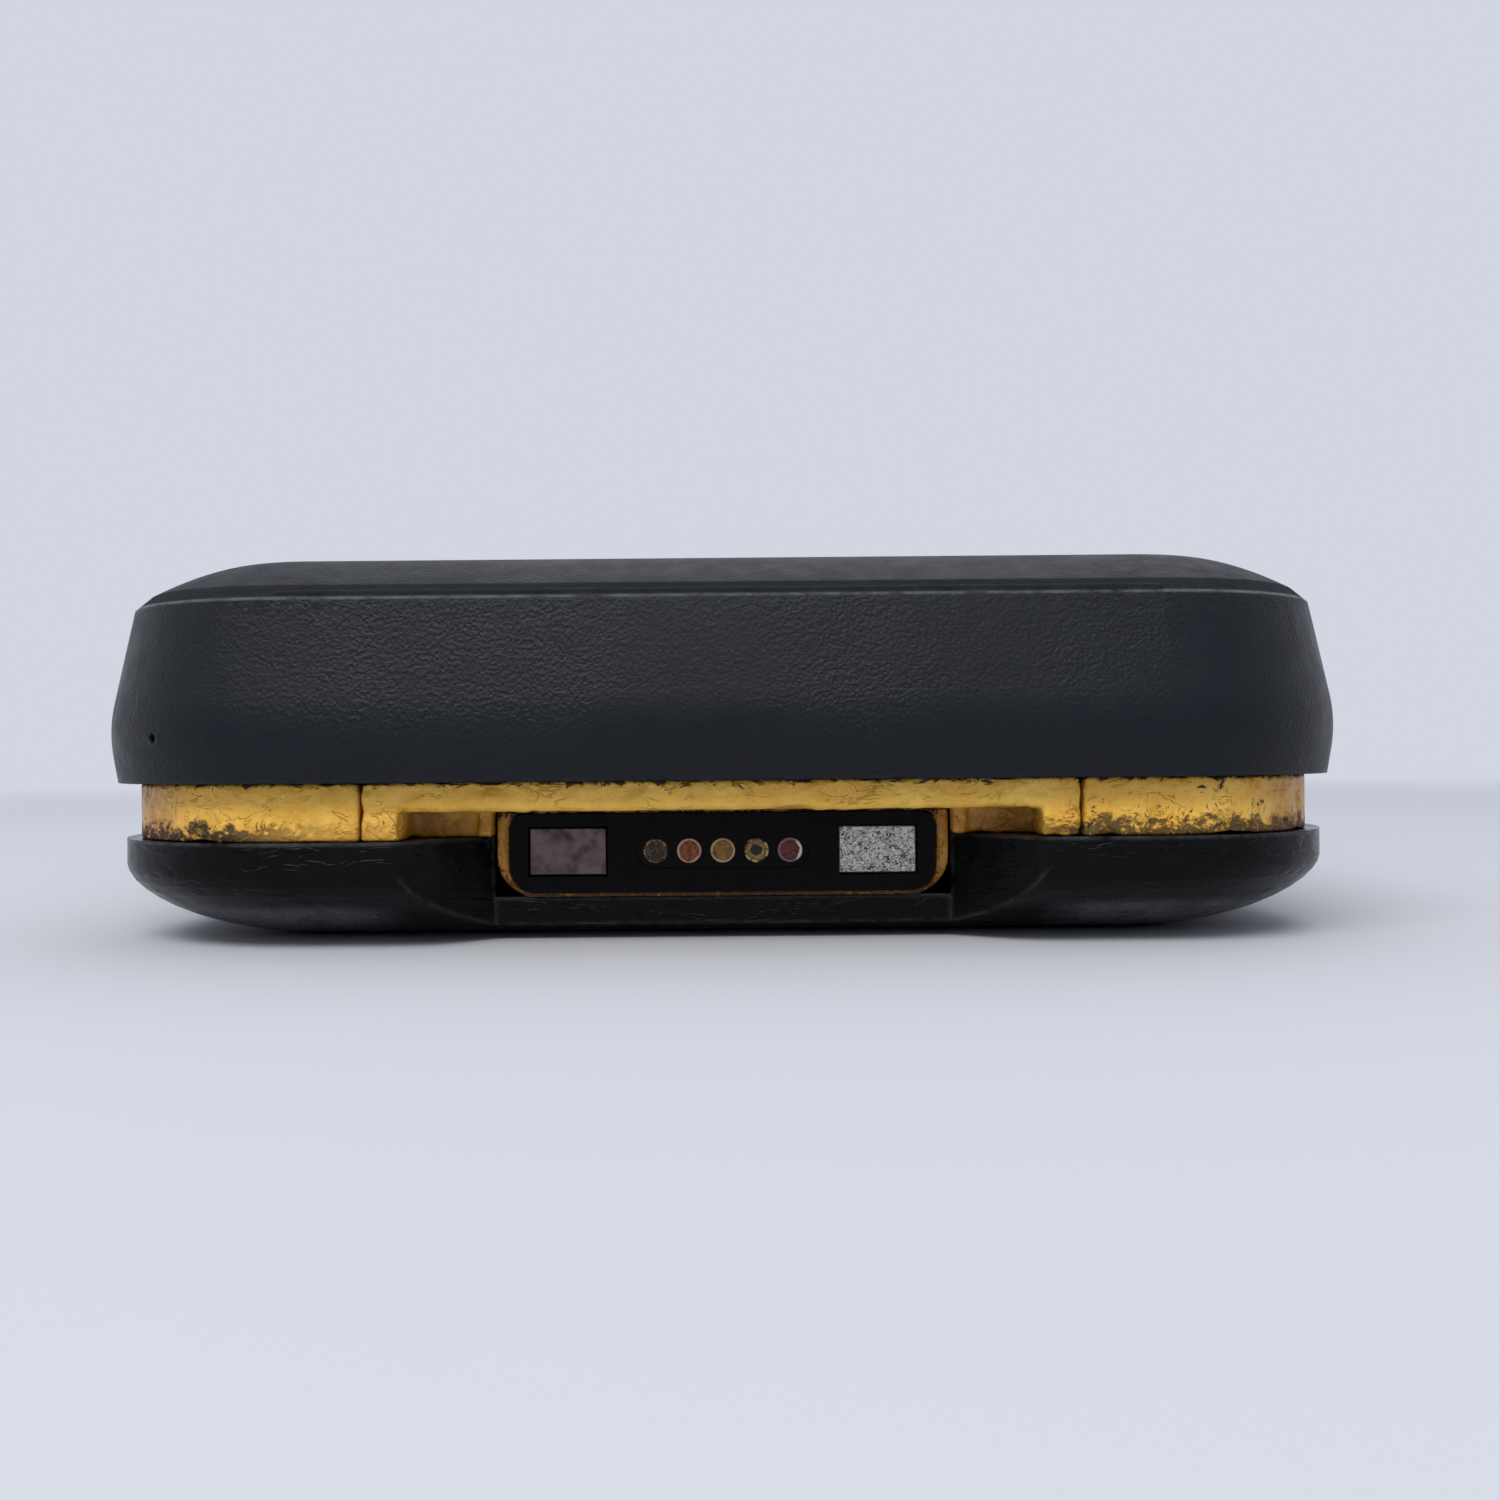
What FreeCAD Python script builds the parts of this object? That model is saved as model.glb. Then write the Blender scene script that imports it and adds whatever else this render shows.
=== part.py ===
import FreeCAD, Part
import math
import os

# A rugged handheld two-way radio lying on its back.
# X is across the radio, Y runs from the dock end to the antenna end, and Z is up through the front face.
# Every shape is drawn with the dock end at Y = 0, and is centred along Y when it is written.

V = FreeCAD.Vector
UP = V(0, 0, 1)
ALONG = V(0, 1, 0)
ACROSS = V(1, 0, 0)

# Overall sizes, in millimetres
body_width = 82.0
body_length = 152.0
corner_radius = 14.0
antenna_length = 44.0

# Heights above the surface that the radio lies on
cover_thickness = 2.4
floor_top = 4.4
bumper_crease = 4.9
bumper_top = 6.6
band_top = 10.2
parting_height = 13.6
body_height = 24.6
bevel_rise = 2.3
facet_rise = 0.9

# Insets of each level from the widest outline
bumper_inset = 0.9
base_inset = 12.5
band_inset = 1.8
skirt_inset = 0.4
ridge_inset = 1.5
facet_inset = 2.5
face_inset = 9.0

# Curves of the bevels
bumper_roundness = 1.7
face_roundness = 1.6
bevel_steps = 12
turn_half = 1.8
turn_reach = 0.167
turn_steps = 8

# Walls and clearances
shell_wall = 3.4
face_wall = 2.4
shoulder_drop = 0.6
shoulder_inset = 6.0
bumper_wall = 3.6
band_wall = 2.7
band_soft = 0.25
visor_soft = 0.45
part_gap = 0.15
seam_gap = 0.25
slip_gap = 0.05
running_gap = 0.05
button_gap = 0.15
stop_gap = 0.1

# Dock notch, visor and connector
notch_mouth_half = 19.6
notch_inner_half = 14.6
notch_depth = 6.8
notch_round = 1.2
visor_thickness = 1.9
centre_piece_half = 22.0
recess_depth = 6.0
recess_wall = 1.2
recess_step_half = 15.5
recess_step = 0.4
surround_half = 14.5
surround_bottom = 2.7
surround_thickness = 1.6
connector_half = 13.6
connector_bottom = 2.95
connector_top = 8.0
connector_proud = 0.4
connector_length = 5.1
connector_round_low = 1.7
connector_round_high = 1.0
bay_half = 16.0
bay_end = 12.5

# Contacts and catch plates in the connector's face
contact_count = 5
contact_pitch = 2.15
contact_radius = 0.8
contact_height = 5.6
contact_well_half_height = 1.15
contact_well_margin = 0.45
contact_well_depth = 0.25
contact_proud = 0.12
contact_length = 1.6
plate_width = 5.0
plate_height = 3.1
plate_offset = 9.9
plate_sink = 0.2
plate_thickness = 1.2
plate_round = 0.15

# Rib under the front face at the dock end
rib_half = 27.0
rib_height = 0.55
rib_proud = 0.85
rib_round = 0.3

# Pin hole in the front shell's left corner at the dock end
pin_hole_radius = 0.32
pin_hole_depth = 1.2
pin_hole_height = 13.0
pin_hole_angle = 56.0

# Rear cover, battery door and its lock
cover_half = 34.0
cover_end_inset = 9.4
cover_round = 6.0
cover_gap = 0.35
door_half = 26.0
door_start = 30.0
door_length = 84.0
door_thickness = 1.5
door_round = 3.0
door_ledge = 2.0
door_tab_half = 4.0
door_tab_offset = 15.0
door_tab_height = 0.7
door_tab_reach = 1.6
lock_radius = 5.0
lock_setback = 7.0
lock_shaft_radius = 2.5
lock_tongue_reach = 5.6
lock_tongue_half = 1.6
lock_tongue_thickness = 0.8
lock_slot_width = 1.4
lock_slot_half = 4.0
lock_slot_depth = 0.6
lock_disc_thickness = 0.8
lock_room = 1.2

# Battery
battery_width = 47.0
battery_length = 66.0
battery_start = 45.0
battery_round = 2.0
battery_blade_pitch = 6.0
battery_blade_width = 2.4
battery_blade_thickness = 0.5

# Screws, bosses and inserts
screw_x = 29.5
screw_end_distance = 18.0
screw_head_radius = 2.3
screw_head_height = 1.6
screw_head_sink = 0.3
screw_shank_radius = 1.2
screw_drive_radius = 1.0
screw_drive_depth = 0.9
screw_reach = 14.0
insert_radius = 2.0
insert_bore_radius = 1.25
insert_length = 4.2
boss_radius = 3.0
clip_spacing = 24.0
clip_end_distance = 24.0
clip_insert_radius = 2.25
clip_bore_radius = 1.25
clip_sink = 0.1

# Chassis and board
chassis_plate = 1.8
chassis_rim = 2.5
post_radius = 2.0
post_x = 24.0
post_end_distance = 26.0
board_underside = 14.4
board_thickness = 1.6
board_side_gap = 4.6
board_start = 10.0
board_end_gap = 18.0
board_round = 3.0
flex_half = 5.0
flex_thickness = 0.3
flex_low = 4.0
seal_width = 1.7
seal_height = 1.0

# Display
lens_width = 54.0
lens_length = 38.0
lens_thickness = 1.5
lens_sink = 0.3
lens_round = 3.0
window_margin = 2.5
gasket_width = 1.25
display_y = 78.0
module_width = 51.0
module_length = 37.0
module_thickness = 3.8
shield_width = 40.0
shield_length = 32.0
shield_round = 1.0
module_round = 1.0

# Speaker, grille and microphone
speaker_y = 118.0
speaker_radius = 15.5
speaker_rim = 1.2
speaker_height = 6.0
magnet_radius = 9.0
grille_width = 46.0
grille_length = 28.0
grille_thickness = 0.8
grille_sink = 0.1
grille_round = 6.0
grille_margin = 3.0
slot_count = 7
slot_pitch = 3.1
slot_width = 1.4
slot_round = 0.69
slot_side_margin = 5.0
microphone_y = 17.0
microphone_radius = 2.5
microphone_hole_radius = 0.6

# Front keys: name, centre X, centre Y
key_places = (
    ("key_call", -20.0, 39.0),
    ("key_menu", 20.0, 39.0),
    ("key_up", 0.0, 46.0),
    ("key_down", 0.0, 32.0),
)
key_width = 14.0
key_length = 9.0
key_round = 3.0
key_proud = 0.8
key_edge_round = 0.4
key_flange = 0.8
key_flange_thickness = 1.0
key_stem_radius = 2.0
key_travel = 0.7
dome_radius = 3.2
dome_height = 0.5

# Push-to-talk button and side buttons on the left side
side_height = 15.8
side_pocket_depth = 1.5
side_pocket_margin = 2.0
side_button_inset = 0.15
side_button_round = 0.5
side_flange = 0.8
side_flange_thickness = 1.1
side_travel = 1.1
ptt_y = 100.0
ptt_length = 30.0
ptt_height = 7.2
side_button_places = (("side_button_upper", 66.0), ("side_button_lower", 54.0))
side_button_length = 8.0
side_button_height = 6.4
switch_depth = 3.6
switch_height = 3.0
ptt_switch_length = 7.0
side_switch_length = 5.0

# Top end: antenna, knobs and emergency button
top_height = 16.5
antenna_radius = 6.2
antenna_tip_radius = 4.6
antenna_tip_round = 2.8
antenna_collar_radius = 6.6
antenna_collar_length = 3.0
socket_radius = 4.0
socket_flange_radius = 4.6
socket_flange_thickness = 1.2
socket_depth = 9.0
knob_spacing = 1.8
knob_gap = 0.5
channel_knob_radius = 6.2
channel_knob_length = 11.0
volume_knob_radius = 6.2
volume_knob_length = 8.5
knob_grooves = 12
knob_groove_radius = 0.7
shaft_radius = 3.0
shaft_depth = 10.0
shaft_tip_cover = 1.5
encoder_half = 5.0
encoder_length = 8.0
emergency_radius = 3.8
emergency_round = 0.95
emergency_proud = 1.8
emergency_travel = 1.2
emergency_flange = 1.0
emergency_flange_thickness = 1.0
emergency_switch_half = 2.6
guard_radius = 5.6
guard_wall = 1.1
guard_height = 1.0

# Status light
light_radius = 1.2
light_x = 27.0
light_from_top = 24.0

# Values worked out from those above
half_width = body_width / 2
overall_length = body_length + antenna_length
facet_height = body_height - bevel_rise
ridge_height = facet_height - facet_rise
inner_face = body_height - face_wall
wall_inner_half = half_width - shell_wall
top_wall_inside = body_length - shell_wall
board_top = board_underside + board_thickness
board_half = wall_inner_half - board_side_gap
band_inner_inset = band_inset + band_wall
chassis_underside = band_top - chassis_plate
door_end = door_start + door_length
lock_y = door_start + lock_setback
screw_rows = (screw_end_distance, body_length / 2, body_length - screw_end_distance)
clip_y = body_length - clip_end_distance
visor_underside = band_top - visor_thickness
straight_half = half_width - corner_radius
antenna_x = -straight_half + socket_flange_radius
emergency_x = straight_half - emergency_radius - emergency_flange
channel_x = antenna_x + antenna_collar_radius + knob_spacing + channel_knob_radius
volume_x = emergency_x - guard_radius - knob_spacing - volume_knob_radius


def box(x0, x1, y0, y1, z0, z1):
    return Part.makeBox(x1 - x0, y1 - y0, z1 - z0, V(x0, y0, z0))


def cylinder_up(x, y, z0, z1, radius):
    return Part.makeCylinder(radius, z1 - z0, V(x, y, z0), UP)


def cylinder_along(x, z, y0, y1, radius):
    return Part.makeCylinder(radius, y1 - y0, V(x, y0, z), ALONG)


def rounded_wire(x0, x1, y0, y1, z, radius):
    """A rectangle with round corners, level at height z."""
    turns = (
        (x1 - radius, y0 + radius, -math.pi / 2),
        (x1 - radius, y1 - radius, 0.0),
        (x0 + radius, y1 - radius, math.pi / 2),
        (x0 + radius, y0 + radius, math.pi),
    )
    edges = []
    ends = []
    for cx, cy, start in turns:
        points = []
        for share in (0.0, 0.5, 1.0):
            angle = start + share * math.pi / 2
            points.append(V(cx + radius * math.cos(angle), cy + radius * math.sin(angle), z))
        edges.append(Part.Arc(*points).toShape())
        ends.append(points)
    order = []
    for i in range(4):
        order.append(edges[i])
        order.append(Part.makeLine(ends[i][2], ends[(i + 1) % 4][0]))
    return Part.Wire(order)


def rounded_block(x0, x1, y0, y1, z0, z1, radius):
    face = Part.Face(rounded_wire(x0, x1, y0, y1, z0, radius))
    return face.extrude(V(0, 0, z1 - z0))


def centred_block(x, y, width, length, z0, z1, radius):
    return rounded_block(x - width / 2, x + width / 2, y - length / 2, y + length / 2, z0, z1, radius)


def outline(inset, z):
    """The radio's plan outline, moved in by inset."""
    radius = corner_radius - inset
    return rounded_wire(-half_width + inset, half_width - inset, inset, body_length - inset, z, radius)


def outline_block(inset, z0, z1):
    return Part.Face(outline(inset, z0)).extrude(V(0, 0, z1 - z0))


def loft(levels):
    wires = [outline(inset, z) for inset, z in levels]
    return Part.makeLoft(wires, True, True)


def ring(inset, wall, z0, z1):
    return outline_block(inset, z0, z1).cut(outline_block(inset + wall, z0, z1))


def fuse_all(shapes):
    first = shapes[0]
    return first.fuse(shapes[1:]).removeSplitter()


def cut_all(shape, tools):
    return shape.cut(Part.makeCompound(tools))


def rounded_side_block(x0, x1, y, length, z, height):
    """A block across X with fully rounded ends along Y."""
    radius = height / 2
    middle = box(x0, x1, y - length / 2 + radius, y + length / 2 - radius, z - radius, z + radius)
    ends = []
    for sign in (-1, 1):
        centre = V(x0, y + sign * (length / 2 - radius), z)
        ends.append(Part.makeCylinder(radius, x1 - x0, centre, ACROSS))
    return fuse_all([middle] + ends)


# Casing


def lower_form():
    """The outside of the rear half: a straight rim above a full rounded bevel."""
    rim = outline_block(bumper_inset, bumper_crease, bumper_top)
    levels = []
    for step in range(bevel_steps + 1):
        angle = math.pi / 2 * step / bevel_steps
        across = math.cos(angle) ** (2 / bumper_roundness)
        down = math.sin(angle) ** (2 / bumper_roundness)
        inset = bumper_inset + (base_inset - bumper_inset) * (1 - across)
        levels.append((inset, bumper_crease * (1 - down)))
    return rim.fuse(loft(levels)).removeSplitter()


def side_levels():
    """Inset and height up the side, whose two drafted faces meet in a wide soft turn."""
    low = V(skirt_inset, 0, band_top)
    corner = V(-turn_reach, 0, parting_height)
    high = V(ridge_inset, 0, ridge_height)
    start = corner + (low - corner) * (turn_half / (parting_height - band_top))
    end = corner + (high - corner) * (turn_half / (ridge_height - parting_height))
    levels = [(low.x, low.z)]
    for step in range(turn_steps + 1):
        share = step / turn_steps
        point = start * (1 - share) ** 2 + corner * (2 * share * (1 - share)) + end * share**2
        levels.append((point.x, point.z))
    levels.append((high.x, high.z))
    return levels


def front_form():
    """The outside of the front half: drafted sides, a narrow facet and a wide soft bevel."""
    facet = loft([(ridge_inset, ridge_height), (facet_inset, facet_height)])
    levels = []
    for step in range(bevel_steps + 1):
        share = step / bevel_steps
        inset = facet_inset + (face_inset - facet_inset) * share
        drop = (body_height - facet_height) * (1 - share) ** face_roundness
        levels.append((inset, body_height - drop))
    return fuse_all([loft(side_levels()), facet, loft(levels)])


def end_rib():
    y0 = ridge_inset + (facet_inset - ridge_inset) - rib_proud
    rib = box(-rib_half, rib_half, y0, y0 + 2 * rib_proud, ridge_height, ridge_height + rib_height)
    middle = ridge_height + rib_height / 2
    edges = [e for e in rib.Edges if abs(e.CenterOfMass.y - y0) < slip_gap and e.CenterOfMass.z >= middle]
    return rib.makeFillet(rib_round, edges)


def pin_hole():
    """A small blind hole that points at the axis of the left corner."""
    angle = math.radians(pin_hole_angle)
    outward = V(-math.cos(angle), -math.sin(angle), 0)
    corner = V(-straight_half, corner_radius, pin_hole_height)
    start = corner + outward * (corner_radius - pin_hole_depth)
    return Part.makeCylinder(pin_hole_radius, 2 * pin_hole_depth, start, outward)


def side_pocket(y, length, height):
    """The shallow pocket round a side button."""
    x1 = -half_width + side_pocket_depth
    margin = 2 * side_pocket_margin
    return rounded_side_block(-half_width - 1, x1, y, length + margin, side_height, height + margin)


def side_hole(y, length, height):
    grown = 2 * button_gap
    return rounded_side_block(
        -half_width - 1, -wall_inner_half + 1, y, length + grown, side_height, height + grown
    )


def side_openings():
    tools = [side_pocket(ptt_y, ptt_length, ptt_height), side_hole(ptt_y, ptt_length, ptt_height)]
    first = side_button_places[0][1]
    last = side_button_places[-1][1]
    span = abs(first - last) + side_button_length
    tools.append(side_pocket((first + last) / 2, span, side_button_height))
    for _, y in side_button_places:
        tools.append(side_hole(y, side_button_length, side_button_height))
    return tools


def front_openings():
    pocket_floor = body_height - lens_sink - lens_thickness
    grille_floor = body_height - grille_sink - grille_thickness
    gap = 2 * seam_gap
    tools = [
        centred_block(
            0, display_y, lens_width + gap, lens_length + gap, pocket_floor, body_height + 1, lens_round
        ),
        centred_block(
            0,
            display_y,
            lens_width - 2 * window_margin,
            lens_length - 2 * window_margin,
            inner_face,
            pocket_floor,
            lens_round,
        ),
        centred_block(
            0, speaker_y, grille_width + gap, grille_length + gap, grille_floor, body_height + 1, grille_round
        ),
        centred_block(
            0,
            speaker_y,
            grille_width - 2 * grille_margin,
            grille_length - 2 * grille_margin,
            inner_face,
            grille_floor,
            grille_round - grille_margin,
        ),
        cylinder_up(0, microphone_y, inner_face, body_height + 1, microphone_hole_radius),
        cylinder_up(light_x, body_length - light_from_top, inner_face, body_height + 1, light_radius),
    ]
    grown = 2 * button_gap
    for _, x, y in key_places:
        tools.append(
            centred_block(x, y, key_width + grown, key_length + grown, inner_face, body_height + 1, key_round)
        )
    return tools


def top_openings():
    far = body_length + guard_height + 1
    return [
        cylinder_along(antenna_x, top_height, top_wall_inside, far, socket_radius),
        cylinder_along(channel_x, top_height, top_wall_inside, far, shaft_radius + running_gap),
        cylinder_along(volume_x, top_height, top_wall_inside, far, shaft_radius + running_gap),
        cylinder_along(emergency_x, top_height, top_wall_inside, far, emergency_radius + button_gap),
    ]


def emergency_guard():
    y1 = body_length + guard_height
    outer = cylinder_along(emergency_x, top_height, top_wall_inside, y1, guard_radius)
    return outer.cut(cylinder_along(emergency_x, top_height, body_length, y1, guard_radius - guard_wall))


def screw_bosses():
    bosses = []
    for y in screw_rows:
        for x in (-screw_x, screw_x):
            bosses.append(cylinder_up(x, y, band_top, inner_face, boss_radius))
    return bosses


def insert_pockets():
    pockets = []
    for y in screw_rows:
        for x in (-screw_x, screw_x):
            pockets.append(cylinder_up(x, y, band_top, band_top + insert_length, insert_radius))
    return pockets


def front_shell():
    shoulder = inner_face - shoulder_drop
    hollow = outline_block(shell_wall, band_top, shoulder)
    upper_hollow = outline_block(shoulder_inset, shoulder, inner_face)
    outside = fuse_all([front_form(), end_rib(), emergency_guard()])
    shell = cut_all(outside, [hollow, upper_hollow])
    shell = fuse_all([shell] + screw_bosses())
    openings = front_openings() + side_openings() + top_openings() + insert_pockets() + [pin_hole()]
    return cut_all(shell, openings)


def rounded_mouth(sign):
    """Three points of the round corner where a notch ramp meets the end face."""
    mouth = V(sign * notch_mouth_half, bumper_inset, 0)
    ramp = V(sign * notch_inner_half, notch_depth, 0).sub(mouth).normalize()
    face = V(sign, 0, 0)
    half_angle = ramp.getAngle(face) / 2
    reach = notch_round / math.tan(half_angle)
    middle = V(ramp).add(face).normalize()
    depth = notch_round / math.sin(half_angle) - notch_round
    return mouth + ramp * reach, mouth + middle * depth, mouth + face * reach


def notch_form():
    """The dock notch: slanted ramps that run from a wide mouth to the connector."""
    left = rounded_mouth(-1)
    right = rounded_mouth(1)
    outside_y = -1.0
    corners = [
        right[2],
        V(right[2].x, outside_y, 0),
        V(left[2].x, outside_y, 0),
        left[2],
    ]
    edges = [Part.makeLine(corners[i], corners[i + 1]) for i in range(3)]
    edges.append(Part.Arc(left[2], left[1], left[0]).toShape())
    inner_left = V(-notch_inner_half, notch_depth, 0)
    inner_right = V(notch_inner_half, notch_depth, 0)
    edges.append(Part.makeLine(left[0], inner_left))
    edges.append(Part.makeLine(inner_left, inner_right))
    edges.append(Part.makeLine(inner_right, right[0]))
    edges.append(Part.Arc(right[0], right[1], right[2]).toShape())
    face = Part.Face(Part.Wire(edges))
    return face.extrude(V(0, 0, bumper_top))


def cover_form(gap, z1):
    return rounded_block(
        -cover_half - gap,
        cover_half + gap,
        cover_end_inset - gap,
        body_length - cover_end_inset + gap,
        0,
        z1,
        cover_round + gap,
    )


def screw_holes(radius, z0, z1):
    holes = []
    for y in screw_rows:
        for x in (-screw_x, screw_x):
            holes.append(cylinder_up(x, y, z0, z1, radius))
    return holes


def clip_holes(radius, z0, z1):
    holes = []
    for x in (-clip_spacing / 2, clip_spacing / 2):
        holes.append(cylinder_up(x, clip_y, z0, z1, radius))
    return holes


def rear_bumper():
    wall = bumper_inset + bumper_wall
    hollow = rounded_block(
        -half_width + wall,
        half_width - wall,
        bay_end,
        body_length - wall,
        floor_top,
        bumper_top,
        corner_radius - wall,
    )
    bay = box(-bay_half, bay_half, notch_depth, bay_end, surround_bottom, bumper_top)
    battery_room = centred_block(
        0,
        battery_start + battery_length / 2,
        battery_width + 2 * seam_gap,
        battery_length + 2 * seam_gap,
        cover_thickness,
        floor_top,
        battery_round,
    )
    contact_room = box(
        -2 * battery_blade_pitch,
        2 * battery_blade_pitch,
        battery_start - 2 * battery_blade_width,
        battery_start + battery_round,
        cover_thickness,
        floor_top,
    )
    lock_hole = cylinder_up(0, lock_y, cover_thickness, floor_top, lock_tongue_reach + lock_room)
    tools = [
        notch_form(),
        cover_form(cover_gap, cover_thickness),
        hollow,
        bay,
        battery_room,
        contact_room,
        lock_hole,
    ]
    tools += screw_holes(screw_shank_radius + part_gap, cover_thickness, floor_top)
    tools += clip_holes(clip_insert_radius, cover_thickness, floor_top)
    return cut_all(lower_form(), tools)


def door_form(gap, z0, z1, ledge):
    return rounded_block(
        -door_half - gap + ledge,
        door_half + gap - ledge,
        door_start - gap + ledge,
        door_end + gap - ledge,
        z0,
        z1,
        door_round,
    )


def door_tabs(gap):
    middle = door_thickness / 2
    half = door_tab_height / 2 + gap
    tabs = []
    for x in (-door_tab_offset, door_tab_offset):
        tabs.append(
            box(
                x - door_tab_half - gap,
                x + door_tab_half + gap,
                door_end - door_ledge,
                door_end + door_tab_reach + gap,
                middle - half,
                middle + half,
            )
        )
    return tabs


def rear_cover():
    head_floor = screw_head_sink + screw_head_height
    tools = [
        door_form(seam_gap, 0, door_thickness, 0),
        door_form(0, door_thickness, cover_thickness, door_ledge),
    ]
    tools += door_tabs(slip_gap)
    tools += screw_holes(screw_head_radius + part_gap, 0, head_floor)
    tools += screw_holes(screw_shank_radius + part_gap, head_floor, cover_thickness)
    tools += clip_holes(clip_insert_radius, 0, cover_thickness)
    return cut_all(cover_form(0, cover_thickness).common(lower_form()), tools)


def battery_door():
    door = fuse_all([door_form(0, 0, door_thickness, 0)] + door_tabs(0))
    recess = cylinder_up(0, lock_y, 0, lock_disc_thickness + slip_gap, lock_radius + running_gap)
    hole = cylinder_up(0, lock_y, 0, door_thickness, lock_shaft_radius + running_gap)
    return cut_all(door, [recess, hole])


def door_lock():
    disc = cylinder_up(0, lock_y, 0, lock_disc_thickness, lock_radius)
    shaft = cylinder_up(0, lock_y, 0, cover_thickness + slip_gap, lock_shaft_radius)
    tongue_low = cover_thickness + slip_gap
    tongue_high = tongue_low + lock_tongue_thickness
    hub = cylinder_up(0, lock_y, tongue_low, tongue_high, lock_shaft_radius)
    tongue = box(
        -lock_tongue_half, lock_tongue_half, lock_y - lock_tongue_reach, lock_y, tongue_low, tongue_high
    )
    slot = box(
        -lock_slot_width / 2,
        lock_slot_width / 2,
        lock_y - lock_slot_half,
        lock_y + lock_slot_half,
        0,
        lock_slot_depth,
    )
    return fuse_all([disc, shaft, hub, tongue]).cut(slot)


# Yellow band


def band_ring():
    return ring(band_inset, band_wall, bumper_top, band_top)


def band_centre():
    """The middle piece: a visor over the dock notch, two legs and the recess walls behind them."""
    half = centre_piece_half - part_gap / 2
    back = recess_depth + recess_wall
    block = box(-half, half, band_inset, back, bumper_top, band_top)
    recess = box(-notch_mouth_half, notch_mouth_half, 0, recess_depth, bumper_top, visor_underside)
    middle = box(-notch_inner_half, notch_inner_half, 0, back, bumper_top, visor_underside)
    steps = []
    for sign in (-1, 1):
        x0 = min(sign * notch_inner_half, sign * recess_step_half)
        x1 = max(sign * notch_inner_half, sign * recess_step_half)
        steps.append(box(x0, x1, recess_depth - recess_step, back, bumper_top, visor_underside))
    piece = fuse_all([cut_all(block, [recess, middle])] + steps)
    visor = [
        e
        for e in piece.Edges
        if abs(e.CenterOfMass.y - band_inset) < slip_gap
        and abs(e.CenterOfMass.z - visor_underside) < slip_gap
    ]
    return soften_ends(piece.makeFillet(visor_soft, visor))


def soften_ends(piece):
    """Rounds the upright outer edges at the dock end."""
    edges = [
        e
        for e in piece.Edges
        if abs(e.BoundBox.YMax - band_inset) < slip_gap
        and e.BoundBox.ZMax - e.BoundBox.ZMin > visor_thickness / 2
        and abs(e.CenterOfMass.x) > notch_inner_half
    ]
    return piece.makeFillet(band_soft, edges)


def band_piece(x0, x1, y0, y1):
    return band_ring().common(box(x0, x1, y0, y1, bumper_top, band_top))


def band_pieces():
    """Corner, side and top lengths of the band, split where the real seams are."""
    gap = part_gap / 2
    side = half_width + 1
    far = body_length + 1
    low_seam = corner_radius
    high_seam = body_length - corner_radius
    seam = centre_piece_half
    return {
        "band_corner_left": soften_ends(band_piece(-side, -seam - gap, 0, low_seam - gap)),
        "band_corner_right": soften_ends(band_piece(seam + gap, side, 0, low_seam - gap)),
        "band_side_left": band_piece(-side, 0, low_seam + gap, high_seam - gap),
        "band_side_right": band_piece(0, side, low_seam + gap, high_seam - gap),
        "band_top_left": band_piece(-side, -gap, high_seam + gap, far),
        "band_top_right": band_piece(gap, side, high_seam + gap, far),
    }


# Dock


def connector_form(gap, y0, y1):
    """The connector's block, with larger rounds on its lower corners."""
    x = connector_half + gap
    low = connector_bottom - gap
    high = connector_top + gap
    block = box(-x, x, y0, y1, low, high)
    lower = []
    upper = []
    for edge in block.Edges:
        place = edge.CenterOfMass
        if abs(abs(place.x) - x) < slip_gap / 2 and abs(place.y - (y0 + y1) / 2) < slip_gap / 2:
            if abs(place.z - low) < slip_gap / 2:
                lower.append(edge)
            if abs(place.z - high) < slip_gap / 2:
                upper.append(edge)
    block = block.makeFillet(connector_round_low, lower)
    upper = [
        edge
        for edge in block.Edges
        if abs(abs(edge.CenterOfMass.x) - x) < slip_gap / 2
        and abs(edge.CenterOfMass.y - (y0 + y1) / 2) < slip_gap / 2
        and abs(edge.CenterOfMass.z - high) < slip_gap / 2
    ]
    return block.makeFillet(connector_round_high, upper)


def dock_surround():
    y0 = notch_depth
    y1 = notch_depth + surround_thickness
    plate = box(-surround_half, surround_half, y0, y1, surround_bottom, visor_underside)
    return plate.cut(connector_form(slip_gap, y0 - 1, y1 + 1))


def contact_xs():
    middle = (contact_count - 1) / 2
    return [(i - middle) * contact_pitch for i in range(contact_count)]


def contact_well(y0, y1):
    """The shallow long well that the contacts stand in."""
    radius = contact_well_half_height
    reach = contact_xs()[-1] + contact_radius + contact_well_margin - radius
    middle = box(-reach, reach, y0, y1, contact_height - radius, contact_height + radius)
    ends = [cylinder_along(x, contact_height, y0, y1, radius) for x in (-reach, reach)]
    return fuse_all([middle] + ends)


def catch_plate(sign, gap, y0, y1):
    x = sign * plate_offset
    half = plate_width / 2 + gap
    tall = plate_height / 2 + gap
    return box(x - half, x + half, y0, y1, contact_height - tall, contact_height + tall)


def dock_connector():
    face = notch_depth - connector_proud
    back = face + connector_length
    well_floor = face + contact_well_depth
    tools = [contact_well(face - 1, well_floor)]
    for x in contact_xs():
        tools.append(cylinder_along(x, contact_height, face, well_floor + contact_length, contact_radius))
    for sign in (-1, 1):
        tools.append(catch_plate(sign, slip_gap, face - 1, face + plate_sink + plate_thickness))
    return cut_all(connector_form(0, face, back), tools)


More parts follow.
